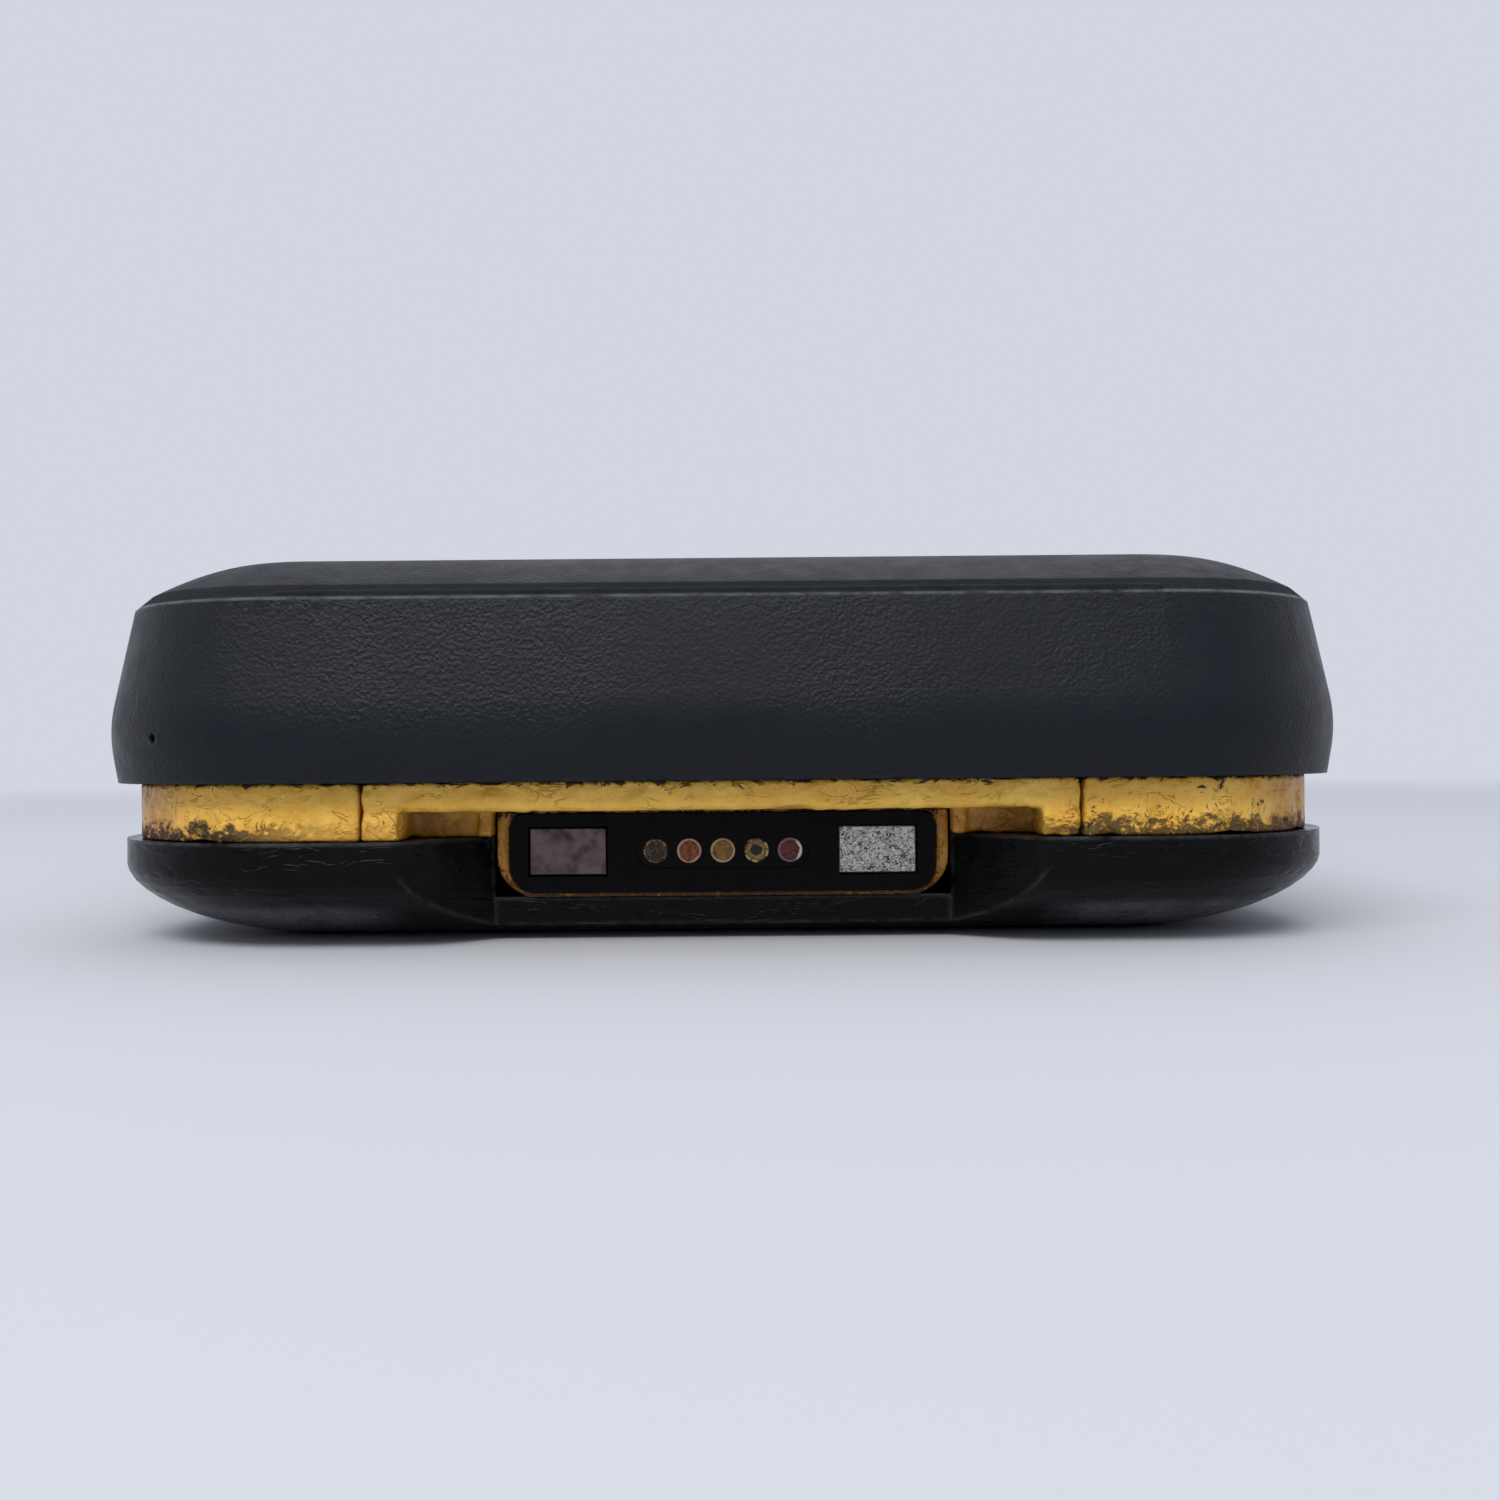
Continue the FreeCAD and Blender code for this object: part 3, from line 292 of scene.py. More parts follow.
def black_rubber(name="bumper_rubber", low=0.16, high=0.30, painted_low_reflection=False):
    """Smooth black rubber with soft dents and grime, edges lightened by handling and by a painted highlight,
    and, where asked, a painted reflection of light from below on its lower outer lobes.
    """
    g = Graph(name)
    tone = g.noise(0.16, 4.0)
    base = g.mix(tone, (0.0008, 0.0008, 0.0010), (0.0022, 0.0022, 0.0025))
    dust = g.between(g.noise(2.2, 8.0, 0.75), 0.62, 0.82)
    base = g.mix(g.math("MULTIPLY", dust, 0.16), base, (0.050, 0.048, 0.044))
    specks = g.between(g.cells(0.7), 0.024, 0.010)
    base = g.mix(g.math("MULTIPLY", specks, 0.6), base, (0.16, 0.16, 0.15))
    # Lighter along the edges: partly wear from handling, partly a painted highlight on them.
    worn = g.between(g.edges(), 0.02, 0.16)
    edge_tint = g.math("MULTIPLY", worn, g.between(g.noise(0.8, 5.0, 0.7), 0.30, 0.60))
    base = g.mix(g.math("MULTIPLY", edge_tint, 0.8), base, (0.070, 0.071, 0.075))
    # Painted reflection: where asked, the lower outer lobes are painted lighter grey in patches, as if lit
    # from below.
    if painted_low_reflection:
        low_reflection_mask = g.between(g.axis("Z"), 2.9, 1.9, 0.0, 0.80)
        outward = g.between(g.math("ABSOLUTE", g.axis("X")), 19.0, 24.0)
        low_reflection_mask = g.math("MULTIPLY", low_reflection_mask, outward)
        patch = g.between(g.noise(0.25, 6.0, 0.65), 0.25, 0.60, 0.35, 1.0)
        base = g.mix(g.math("MULTIPLY", low_reflection_mask, patch), base, (0.115, 0.118, 0.128))
    dents = g.bump(g.noise(0.22, 2.5, 0.5), 0.22 * MM, 0.8, g.rounding(0.45 * MM))
    creases = g.between(g.noise(0.9, 3.0, 0.6, g.stretch((0.35, 0.35, 1.6)), 0.6), 0.52, 0.60)
    cut = g.bump(creases, 0.04 * MM, 0.7, dents)
    normal = g.bump(g.noise(6.0, 3.0), 0.010 * MM, 0.8, cut)
    rough = g.between(g.noise(0.8, 4.0), 0.3, 0.7, low, high)
    return g.finish(base, rough, normal=normal, specular=0.12)


def yellow_plastic(name, low_z, high_z, warm=0.0, grime_all=0.0):
    """Scuffed yellow plastic: brown grime along its lower edge, dark nicks, scratches and chips, and painted
    shade that makes it browner deeper in the recess.
    """
    g = Graph(name)
    z = g.axis("Z")
    x = g.axis("X")
    tone = g.between(g.noise(0.30, 5.0), 0.3, 0.7)
    base = g.mix(tone, (0.95, 0.575, 0.090), (0.83, 0.430, 0.045))
    if warm:
        base = g.mix(warm, base, (0.48, 0.17, 0.012))
    # Painted shade: the deeper a yellow face lies in the recess, the darker and browner it is painted.
    recess_shade = g.math("MULTIPLY", g.between(g.axis("Y"), recess_front, recess_back), 0.62)
    base = g.mix(recess_shade, base, (0.42, 0.155, 0.014))
    sun = g.between(g.noise(1.6, 5.0, 0.65), 0.48, 0.75)
    base = g.mix(g.math("MULTIPLY", sun, 0.35), base, (0.95, 0.66, 0.17))
    height = high_z - low_z
    foot = g.between(z, low_z + height * 0.60, low_z + height * 0.04, 0.0, 1.0)
    top = g.between(z, high_z - height * 0.20, high_z, 0.0, 1.0)
    left = g.between(x, -23.0, -31.0, grime_all, 1.0)
    right = g.between(x, 18.5, 21.5, grime_all, 0.85)
    side = g.math("MAXIMUM", left, right)
    grain = g.noise(1.1, 10.0, 0.80, g.stretch((1.0, 1.0, 1.5)), 0.35)
    lifted = g.math("ADD", grain, g.math("MULTIPLY", foot, 0.20))
    grime = g.between(lifted, 0.62, 0.70)
    grime = g.math("MULTIPLY", grime, g.math("MULTIPLY", side, g.between(foot, 0.0, 0.5)), clamp=True)
    nick_noise = g.noise(0.75, 8.0, 0.82, g.stretch((1.0, 1.0, 1.6), (3.1, 0.4, 1.7)), 1.0)
    nicks = g.between(g.math("ADD", nick_noise, g.math("MULTIPLY", top, 0.17)), 0.668, 0.683)
    scratch = g.between(g.noise(1.9, 2.0, 0.5, g.stretch((1.2, 1.2, 0.22)), 3.0), 0.685, 0.71)
    scratch = g.math("MULTIPLY", scratch, side)
    chip_noise = g.noise(0.55, 7.0, 0.75, g.stretch((1.0, 1.0, 1.0), (7.3, 0.0, 2.2)), 1.5)
    chips = g.between(g.math("ADD", chip_noise, g.math("MULTIPLY", right, 0.06)), 0.665, 0.680)
    dark = g.math("MAXIMUM", grime, g.math("MAXIMUM", nicks, g.math("MAXIMUM", scratch, chips)), clamp=True)
    stain = g.between(lifted, 0.52, 0.74)
    base = g.mix(g.math("MULTIPLY", stain, 0.48), base, (0.33, 0.135, 0.012))
    pink = g.math("MULTIPLY", g.between(x, -34.5, -38.5), g.between(g.noise(0.5, 4.0), 0.35, 0.6))
    base = g.mix(g.math("MULTIPLY", pink, 0.45), base, (0.40, 0.17, 0.075))
    fold = g.noise(0.26, 3.0, 0.6, g.stretch((0.8, 0.8, 1.8), (1.7, 0.0, 5.1)), 1.6)
    crease = g.between(g.math("ABSOLUTE", g.math("SUBTRACT", fold, 0.5)), 0.014, 0.0)
    crease = g.math("MULTIPLY", crease, g.between(g.noise(0.4, 3.0), 0.45, 0.60))
    base = g.mix(g.math("MULTIPLY", crease, 0.55), base, (0.52, 0.205, 0.018))
    worn = g.between(g.edges(0.35 * MM), 0.03, 0.22)
    edge_tint = g.math("MULTIPLY", worn, g.between(g.noise(1.2, 5.0, 0.7), 0.36, 0.58))
    base = g.mix(g.math("MULTIPLY", edge_tint, 0.60), base, (0.26, 0.105, 0.015))
    base = g.mix(g.math("MULTIPLY", dark, 0.95), base, (0.014, 0.011, 0.008))
    soft = g.bump(g.noise(0.75, 3.0, 0.6, None, 0.6), 0.30 * MM, 0.9)
    folded = g.bump(g.math("SUBTRACT", 1.0, crease), 0.07 * MM, 0.8, soft)
    pitted = g.bump(g.math("SUBTRACT", 1.0, dark), 0.08 * MM, 0.8, folded)
    normal = g.bump(g.noise(4.0, 4.0, 0.65), 0.018 * MM, 0.9, pitted)
    rough = g.mix(dark, (0.34, 0.34, 0.34), (0.75, 0.75, 0.75))
    return g.finish(base, rough, normal=normal, specular=0.45)


def plain_plastic(name, color, rough, grain=5.0, depth=0.012, spread=0.25, dusty=0.18, gloss=0.45):
    """Moulded plastic with a fine spark-eroded grain and a slightly uneven colour."""
    g = Graph(name)
    tone = g.noise(0.3, 4.0)
    darker = tuple(c * (1 - spread) for c in color)
    lighter = tuple(min(1.0, c * (1 + spread)) for c in color)
    base = g.mix(tone, darker, lighter)
    dust = g.between(g.noise(1.9, 7.0, 0.7), 0.63, 0.82)
    base = g.mix(g.math("MULTIPLY", dust, dusty), base, (0.16, 0.16, 0.155))
    normal = g.bump(g.noise(grain, 4.0, 0.65), depth * MM, 0.9)
    uneven = g.between(g.noise(0.9, 4.0), 0.3, 0.7, rough - 0.06, rough + 0.08)
    return g.finish(base, uneven, normal=normal, specular=gloss)


def metal(name, color, rough, brush=(0.6, 6.0, 6.0), tarnish=(0.10, 0.08, 0.07), pits=0.0, dirt=0.2):
    """Brushed metal with tarnish, and black pits where it has worn through."""
    g = Graph(name)
    lines = g.noise(2.2, 4.0, 0.6, g.stretch(brush))
    cloud = g.between(g.noise(0.8, 5.0, 0.65), 0.35, 0.75)
    base = g.mix(g.math("MULTIPLY", cloud, dirt), color, tarnish)
    base = g.mix(g.math("MULTIPLY", lines, 0.25), base, tuple(c * 0.55 for c in color))
    normal = g.bump(lines, 0.010 * MM, 0.8)
    metallic = 1.0
    roughness = g.between(lines, 0.3, 0.7, rough - 0.08, rough + 0.12)
    if pits:
        holes = g.between(g.noise(4.8, 6.0, 0.85, None, 1.6), 0.66 - pits, 0.70 - pits)
        base = g.mix(holes, base, (0.015, 0.013, 0.012))
        normal = g.bump(g.math("SUBTRACT", 1.0, holes), 0.03 * MM, 0.9, normal)
        metallic = g.math("SUBTRACT", 1.0, g.math("MULTIPLY", holes, 0.9))
    return g.finish(base, roughness, metallic, normal)


def contact_metal(name, centre, face, rim, worn, worn_share, hole=0.0, crescent=0.0):
    """A round gold contact: a pale rim, a scratched face with painted glints, and dirt, with a dark pit or a
    painted highlight as a bright crescent.
    """
    g = Graph(name)
    across = g.math("SUBTRACT", g.axis("X"), centre.x / MM)
    up = g.math("SUBTRACT", g.axis("Z"), centre.z / MM)
    radius = g.math("SQRT", g.math("ADD", g.math("POWER", across, 2.0), g.math("POWER", up, 2.0)))
    wobble = g.math("MULTIPLY", g.math("SUBTRACT", g.noise(3.0, 5.0, 0.7), 0.5), 0.34)
    radius = g.math("ADD", radius, wobble)
    mottle = g.noise(4.6, 8.0, 0.85, None, 1.2)
    base = g.mix(g.between(mottle, 0.40, 0.60), face, tuple(c * 0.30 for c in face))
    # Painted glints: small pale spots on the face.
    glints = g.between(g.noise(6.5, 5.0, 0.8), 0.60, 0.70)
    base = g.mix(g.math("MULTIPLY", glints, 0.7), base, rim)
    base = g.mix(g.between(radius, 0.60, 0.68), base, rim)
    line = g.between(g.math("ABSOLUTE", g.math("SUBTRACT", radius, 0.60)), 0.06, 0.0)
    dirt = g.between(g.noise(2.6, 7.0, 0.85, None, 0.8), 0.62 - worn_share, 0.68 - worn_share)
    dirt = g.math("MAXIMUM", dirt, g.math("MULTIPLY", line, 0.75))
    if hole:
        dirt = g.math("MAXIMUM", dirt, g.between(radius, hole, hole - 0.06))
        scallop = g.between(g.noise(2.4, 3.0, 0.6), 0.46, 0.54)
        dirt = g.math("MAXIMUM", dirt, g.math("MULTIPLY", scallop, g.between(radius, 0.62, 0.68)))
    base = g.mix(dirt, base, worn)
    # Painted highlight: a bright crescent on one side of the contact.
    if crescent:
        bright = g.math("MULTIPLY", g.between(across, 0.30, 0.62), g.between(radius, 0.56, 0.66))
        base = g.mix(g.math("MULTIPLY", bright, crescent), base, (0.80, 0.74, 0.70))
    metallic = g.math("SUBTRACT", 1.0, g.math("MULTIPLY", dirt, 0.9))
    normal = g.bump(mottle, 0.05 * MM, 1.0)
    return g.finish(base, 0.38, metallic, normal)


def board_green():
    """Green solder mask over a net of tracks."""
    g = Graph("board_green")
    tracks = g.between(g.cells(0.5, "DISTANCE_TO_EDGE"), 0.06, 0.03)
    base = g.mix(tracks, (0.010, 0.085, 0.035), (0.020, 0.17, 0.07))
    normal = g.bump(tracks, 0.02 * MM, 0.8)
    return g.finish(base, g.between(g.noise(2.0), 0.3, 0.7, 0.28, 0.40), normal=normal)


def smoked_window():
    """The clear front window: smooth, with hairline scratches and a greasy patch."""
    g = Graph("window_clear")
    hair = g.between(g.noise(1.5, 2.0, 0.5, g.stretch((0.25, 3.0, 1.0)), 1.5), 0.66, 0.70)
    smear = g.between(g.noise(0.12, 5.0, 0.7), 0.42, 0.68)
    rough = g.math("ADD", g.math("MULTIPLY", hair, 0.30), g.math("MULTIPLY", smear, 0.12), clamp=True)
    normal = g.bump(hair, 0.004 * MM, 0.6)
    low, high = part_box("display_lens")
    middle = (low + high) / 2 / MM
    half = (high - low) / 2 / MM
    across = g.math("ABSOLUTE", g.math("SUBTRACT", g.axis("X"), middle.x))
    along = g.math("ABSOLUTE", g.math("SUBTRACT", g.axis("Y"), middle.y))
    past_side = g.math("SUBTRACT", across, half.x - border_width)
    past_end = g.math("SUBTRACT", along, half.y - border_width)
    border = g.between(g.math("MAXIMUM", past_side, past_end), -0.03, 0.03)
    g.link(g.math("MULTIPLY", g.math("SUBTRACT", 1.0, border), 0.95), g.shader.inputs["Transmission Weight"])
    g.shader.inputs["IOR"].default_value = 1.46
    base = g.mix(smear, (0.86, 0.90, 0.91), (0.80, 0.83, 0.84))
    base = g.mix(border, base, (0.004, 0.004, 0.005))
    return g.finish(base, rough, normal=normal)


def glowing(name, color, strength):
    """A lit lens, slightly uneven."""
    g = Graph(name)
    uneven = g.between(g.noise(1.1, 3.0), 0.2, 0.8, 0.8, 1.0)
    base = g.mix(uneven, tuple(c * 0.7 for c in color), color)
    g.link(base, g.shader.inputs["Emission Color"])
    g.shader.inputs["Emission Strength"].default_value = strength
    return g.finish(base, 0.4)


def display_green():
    """A reflective panel: grey-green, cloudy, with a fine row and column pattern."""
    g = Graph("display_panel")
    base = g.mix(g.noise(0.15, 4.0), (0.225, 0.275, 0.185), (0.285, 0.335, 0.225))
    grid = g.noise(4.0, 1.0, 0.5, g.stretch((3.0, 0.2, 1.0)))
    base = g.mix(g.math("MULTIPLY", grid, 0.3), base, (0.19, 0.24, 0.16))
    return g.finish(base, g.between(g.noise(0.8), 0.3, 0.7, 0.38, 0.5), normal=g.bump(grid, 0.004 * MM, 0.5))


def printed(name, color):
    """A rubbed print: slightly uneven, with small losses."""
    g = Graph(name)
    lost = g.between(g.noise(2.6, 6.0, 0.75), 0.60, 0.68)
    base = g.mix(g.noise(0.8, 4.0), color, tuple(c * 0.75 for c in color))
    base = g.mix(g.math("MULTIPLY", lost, 0.7), base, tuple(c * 0.25 for c in color))
    return g.finish(base, 0.55, normal=g.bump(g.noise(6.0), 0.01 * MM, 0.7), specular=0.3)


def speaker_cone():
    """Dark woven cone."""
    g = Graph("speaker_cone")
    warp = g.noise(3.0, 2.0, 0.5, g.stretch((4.0, 1.0, 1.0)))
    weft = g.noise(3.0, 2.0, 0.5, g.stretch((1.0, 4.0, 1.0)))
    weave = g.math("ADD", warp, weft)
    base = g.mix(g.noise(1.0), (0.020, 0.020, 0.021), (0.045, 0.044, 0.043))
    return g.finish(base, 0.85, normal=g.bump(weave, 0.05 * MM, 0.8))


# Mesh helpers


def add_mesh(name, bm, material, smooth=True, angle=35.0):
    """An object from a bmesh. Edges sharper than the angle, in degrees, stay sharp."""
    mesh = bpy.data.meshes.new(name)
    bmesh.ops.recalc_face_normals(bm, faces=bm.faces)
    bm.to_mesh(mesh)
    bm.free()
    piece = bpy.data.objects.new(name, mesh)
    bpy.context.scene.collection.objects.link(piece)
    if smooth:
        mesh.shade_smooth()
        mesh.set_sharp_from_angle(angle=math.radians(angle))
    mesh.materials.append(material)
    return piece


def rounded_outline(width, length, radius, steps=6):
    """The points of a round-cornered rectangle about the origin, anticlockwise."""
    points = []
    for quarter in range(4):
        cx = (width / 2 - radius) * (1 if quarter in (0, 3) else -1)
        cy = (length / 2 - radius) * (1 if quarter in (0, 1) else -1)
        for step in range(steps + 1):
            angle = math.pi / 2 * (quarter + step / steps)
            points.append(Vector((cx + radius * math.cos(angle), cy + radius * math.sin(angle), 0)))
    return points


def stack(bm, rings, cap_low=True, cap_high=True):
    """Joins rings of equal count into a skin, and closes its ends."""
    made = [[bm.verts.new(p) for p in ring] for ring in rings]
    count = len(made[0])
    for low, high in zip(made, made[1:]):
        for i in range(count):
            j = (i + 1) % count
            bm.faces.new((low[i], low[j], high[j], high[i]))
    if cap_low:
        bm.faces.new(list(reversed(made[0])))
    if cap_high:
        bm.faces.new(made[-1])
    return made


def stack_loop(bm, rings):
    """Joins rings into a skin, and the last ring back to the first."""
    made = stack(bm, rings, False, False)
    count = len(made[0])
    for i in range(count):
        j = (i + 1) % count
        bm.faces.new((made[-1][i], made[-1][j], made[0][j], made[0][i]))


def circle(centre_a, centre_b, radius, steps):
    """Pairs of coordinates round a centre."""
    turns = (2 * math.pi * i / steps for i in range(steps))
    return [(centre_a + radius * math.cos(turn), centre_b + radius * math.sin(turn)) for turn in turns]


def place_rings(levels, outline_of, move):
    """One ring for each (inset, height) level, moved into place by move."""
    return [[move(p, height) for p in outline_of(inset)] for inset, height in levels]


# Stage, lights and camera


def make_stage():
    """A pale floor that fades into the pale sky with distance, so that no horizon shows."""
    bm = bmesh.new()
    rings = []
    for radius in floor_radii:
        rings.append([Vector((x, y, floor_z)) for x, y in circle(0, 0, radius, 96)])
    stack(bm, rings, cap_low=True, cap_high=False)
    g = Graph("floor_pale")
    tone = g.noise(0.004, 2.0)
    g.finish(g.mix(tone, (0.475, 0.488, 0.518), (0.495, 0.508, 0.538)), 0.8, specular=0.1)
    far = g.tree.nodes.new("ShaderNodeEmission")
    far.inputs["Color"].default_value = sky_color
    far.inputs["Strength"].default_value = sky_strength
    span = g.tree.nodes.new("ShaderNodeVectorMath")
    span.operation = "LENGTH"
    g.link(g.place, span.inputs[0])
    fade = g.between(span.outputs["Value"], fade_start, fade_end)
    blend = g.tree.nodes.new("ShaderNodeMixShader")
    g.link(fade, blend.inputs[0])
    g.link(g.shader.outputs[0], blend.inputs[1])
    g.link(far.outputs[0], blend.inputs[2])
    g.link(blend.outputs[0], g.tree.nodes["Material Output"].inputs["Surface"])
    add_mesh("studio_floor", bm, g.material)


def area_light(name, place, target, size, power):
    """A soft rectangular light that faces its target."""
    data = bpy.data.lights.new(name, "AREA")
    data.shape = "RECTANGLE"
    data.size = size[0]
    data.size_y = size[1]
    data.energy = power
    lamp = bpy.data.objects.new(name, data)
    bpy.context.scene.collection.objects.link(lamp)
    lamp.location = place
    lamp.rotation_mode = "QUATERNION"
    lamp.rotation_quaternion = (Vector(target) - Vector(place)).to_track_quat("-Z", "Y")


def make_lights():
    """The even sky and the two soft lights."""
    world = bpy.data.worlds.new("studio")
    bpy.context.scene.world = world
    world.use_nodes = True
    sky = world.node_tree.nodes["Background"]
    sky.inputs["Color"].default_value = sky_color
    sky.inputs["Strength"].default_value = sky_strength
    for softbox in softboxes:
        area_light(*softbox)


def make_flag():
    """A dark card well in front of the dock end, which keeps the pale room out of the glossy black."""
    bm = bmesh.new()
    rings = []
    for height in flag_heights:
        ring = []
        for i in range(flag_columns + 1):
            angle = math.radians(-150 + 120 * i / flag_columns)
            ring.append(Vector((flag_radius * math.cos(angle), flag_radius * math.sin(angle), height)))
        rings.append([bm.verts.new(p) for p in ring])
    for i in range(flag_columns):
        bm.faces.new((rings[0][i], rings[0][i + 1], rings[1][i + 1], rings[1][i]))
    g = Graph("flag_dark")
    g.finish(g.mix(g.noise(0.01), (0.02, 0.02, 0.022), (0.03, 0.03, 0.032)), 0.9)
    flag = add_mesh("studio_flag", bm, g.material)
    flag.visible_camera = False


def make_camera():
    """The camera before the dock end, level with the middle of the body."""
    data = bpy.data.cameras.new("photo_camera")
    data.lens = lens_mm
    data.sensor_width = sensor_mm
    data.clip_start = 5 * MM
    data.clip_end = 20.0
    camera = bpy.data.objects.new("photo_camera", data)
    bpy.context.scene.collection.objects.link(camera)
    camera.location = (eye_side, end_y - eye_distance, base_z + eye_height)
    camera.rotation_mode = "QUATERNION"
    forward = Vector((0, 1, 0)).to_track_quat("-Z", "Y")
    roll = Matrix.Rotation(-eye_roll, 4, "Z").to_quaternion()
    camera.rotation_quaternion = forward @ roll
    bpy.context.scene.camera = camera
    bpy.context.scene.view_settings.view_transform = "Standard"


# Materials on the CAD nodes


def dress():
    """Gives each CAD node its material. What isn't listed is part of the yellow band."""
    low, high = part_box("band_side_left")
    yellow = yellow_plastic("band_yellow", low.z / MM, high.z / MM)
    surround = yellow_plastic("surround_yellow", 2.6, 8.0, 0.35, 0.8)
    shell = black_shell()
    # The bumper rubber gets the painted reflection of light from below on its lower outer lobes.
    rubber = black_rubber(painted_low_reflection=True)
    steel = metal("steel_turned", (0.60, 0.60, 0.61), 0.30)
    black_steel = metal("steel_black", (0.13, 0.13, 0.135), 0.42)
    brass = metal("brass_turned", (0.72, 0.50, 0.20), 0.30)
    tin = metal("tin_plate", (0.68, 0.69, 0.70), 0.34)
    cover = plain_plastic("cover_black", (0.024, 0.026, 0.030), 0.52, 3.6, 0.030)
    housing = plain_plastic(
        "connector_black", (0.0006, 0.0006, 0.0008), 0.30, 6.0, 0.006, dusty=0.03, gloss=0.10
    )
    silicone = plain_plastic("silicone_grey", (0.07, 0.07, 0.075), 0.62)
    switch = plain_plastic("switch_black", (0.05, 0.05, 0.055), 0.45)
    key = black_rubber("key_rubber", 0.42, 0.55)
    warm_key = plain_plastic("ptt_yellow", (0.80, 0.44, 0.05), 0.50, 4.0, 0.02, 0.10)
    looks = {
        "front_shell": shell,
        "rear_bumper": rubber,
        "rear_cover": cover,
        "battery_door": cover,
        "door_lock": black_steel,
        "dock_surround": surround,
        "dock_connector": housing,
        "catch_plate_left": metal(
            "plate_mauve", (0.185, 0.140, 0.142), 0.36, (1.0, 1.0, 5.0), (0.030, 0.018, 0.018), 0.035, 0.85
        ),
        "catch_plate_right": metal(
            "plate_pitted", (0.80, 0.75, 0.71), 0.32, (1.0, 1.0, 4.0), (0.12, 0.10, 0.085), 0.135, 0.45
        ),
        "dock_flex": plain_plastic("film_amber", (0.45, 0.20, 0.04), 0.35),
        "chassis": metal("cast_alloy", (0.50, 0.51, 0.53), 0.50),
        "housing_seal": silicone,
        "main_board": board_green(),
        "rf_shield": tin,
        "display_gasket": silicone,
        "display_lens": smoked_window(),
        "speaker": speaker_cone(),
        "microphone": silicone,
        "status_light": glowing("light_green", (0.15, 0.75, 0.30), 0.6),
        "battery_pack": plain_plastic("battery_wrap", (0.06, 0.07, 0.09), 0.40),
        "battery_contacts": brass,
        "housing_screws": black_steel,
        "housing_inserts": brass,
        "clip_inserts": brass,
        "key_call": warm_key,
        "key_domes": tin,
        "ptt_button": warm_key,
        "antenna": black_rubber("antenna_rubber", 0.40, 0.55),
        "antenna_socket": brass,
        "emergency_button": plain_plastic("emergency_orange", (0.70, 0.10, 0.015), 0.34, 5.0, 0.01, 0.08),
        "speaker_grille": plain_plastic("grille_black", (0.030, 0.031, 0.034), 0.45, 6.0, 0.010),
        "display_module": plain_plastic("display_frame", (0.05, 0.05, 0.052), 0.40),
    }
    for name in ("channel_shaft", "volume_shaft"):
        looks[name] = steel
    for name in ("channel_encoder", "volume_encoder", "emergency_switch", "ptt_switch", "side_switches"):
        looks[name] = switch
    knob = black_rubber("knob_rubber", 0.40, 0.52)
    for name in ("channel_knob", "volume_knob"):
        looks[name] = knob
    for name in ("key_menu", "key_up", "key_down", "side_button_upper", "side_button_lower"):
        looks[name] = key
    # Each contact: face, rim and dirt colours, dirt share, dark pit, and the share of its painted crescent
    # highlight.
    faces = (
        ((0.26, 0.150, 0.080), (0.34, 0.22, 0.12), (0.006, 0.005, 0.004), 0.17, 0.0, 0.0),
        ((0.36, 0.135, 0.070), (0.50, 0.30, 0.21), (0.050, 0.018, 0.010), 0.04, 0.0, 0.0),
        ((0.40, 0.215, 0.080), (0.52, 0.36, 0.19), (0.045, 0.022, 0.010), 0.06, 0.0, 0.0),
        ((0.46, 0.290, 0.110), (0.56, 0.40, 0.19), (0.006, 0.005, 0.004), 0.03, 0.40, 0.0),
        ((0.20, 0.075, 0.075), (0.26, 0.15, 0.14), (0.020, 0.010, 0.010), 0.05, 0.0, 0.9),
    )
    for number, (face, rim, worn, share, hole, crescent) in enumerate(faces, 1):
        name = "dock_contact_" + str(number)
        low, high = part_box(name)
        middle = (low + high) / 2
        looks[name] = contact_metal(name + "_metal", middle, face, rim, worn, share, hole, crescent)
    for name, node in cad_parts.items():
        look = looks.get(name, yellow)
        node.data.materials.clear()
        node.data.materials.append(look)
        node.data.shade_smooth()
        node.data.set_sharp_from_angle(angle=sharp_angle)


# Detail pieces


def settle(piece, body, replaced=None):
    """Puts a piece on its body and the CAD node that it replaces, if any."""
    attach(piece, body)
    if replaced:
        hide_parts(replaced)


def flat_on(centre):
    """A move that lays an outline flat round a centre, at a height in millimetres."""
    return lambda p, height: Vector((centre.x + p.x * MM, centre.y + p.y * MM, height))


def plate(bm, centre, width, length, radius, levels):
    """A rounded plate from (inset in mm, Z in metres) levels."""
    rings = place_rings(
        levels,
        lambda inset: rounded_outline(width - 2 * inset, length - 2 * inset, max(radius - inset, 0.15)),
        flat_on(centre),
    )
    stack(bm, rings)


def prism(bm, points, low, high):
    """An upright prism from flat points in metres."""
    stack(bm, [[Vector((x, y, z)) for x, y in points] for z in (low, high)])


def block(bm, x0, y0, x1, y1, low, high):
    """An upright block between two flat corners."""
    prism(bm, ((x0, y0), (x1, y0), (x1, y1), (x0, y1)), low, high)


def bar(bm, start, end, thick, low, high):
    """A six-sided bar with pointed ends, like one segment of a figure."""
    run = Vector(end) - Vector(start)
    along = run.normalized() * thick / 2
    aside = Vector((-along.y, along.x))
    a = Vector(start)
    b = Vector(end)
    points = [a, a + along + aside, b - along + aside, b, b - along - aside, a + along - aside]
    prism(bm, [(p.x, p.y) for p in points], low, high)


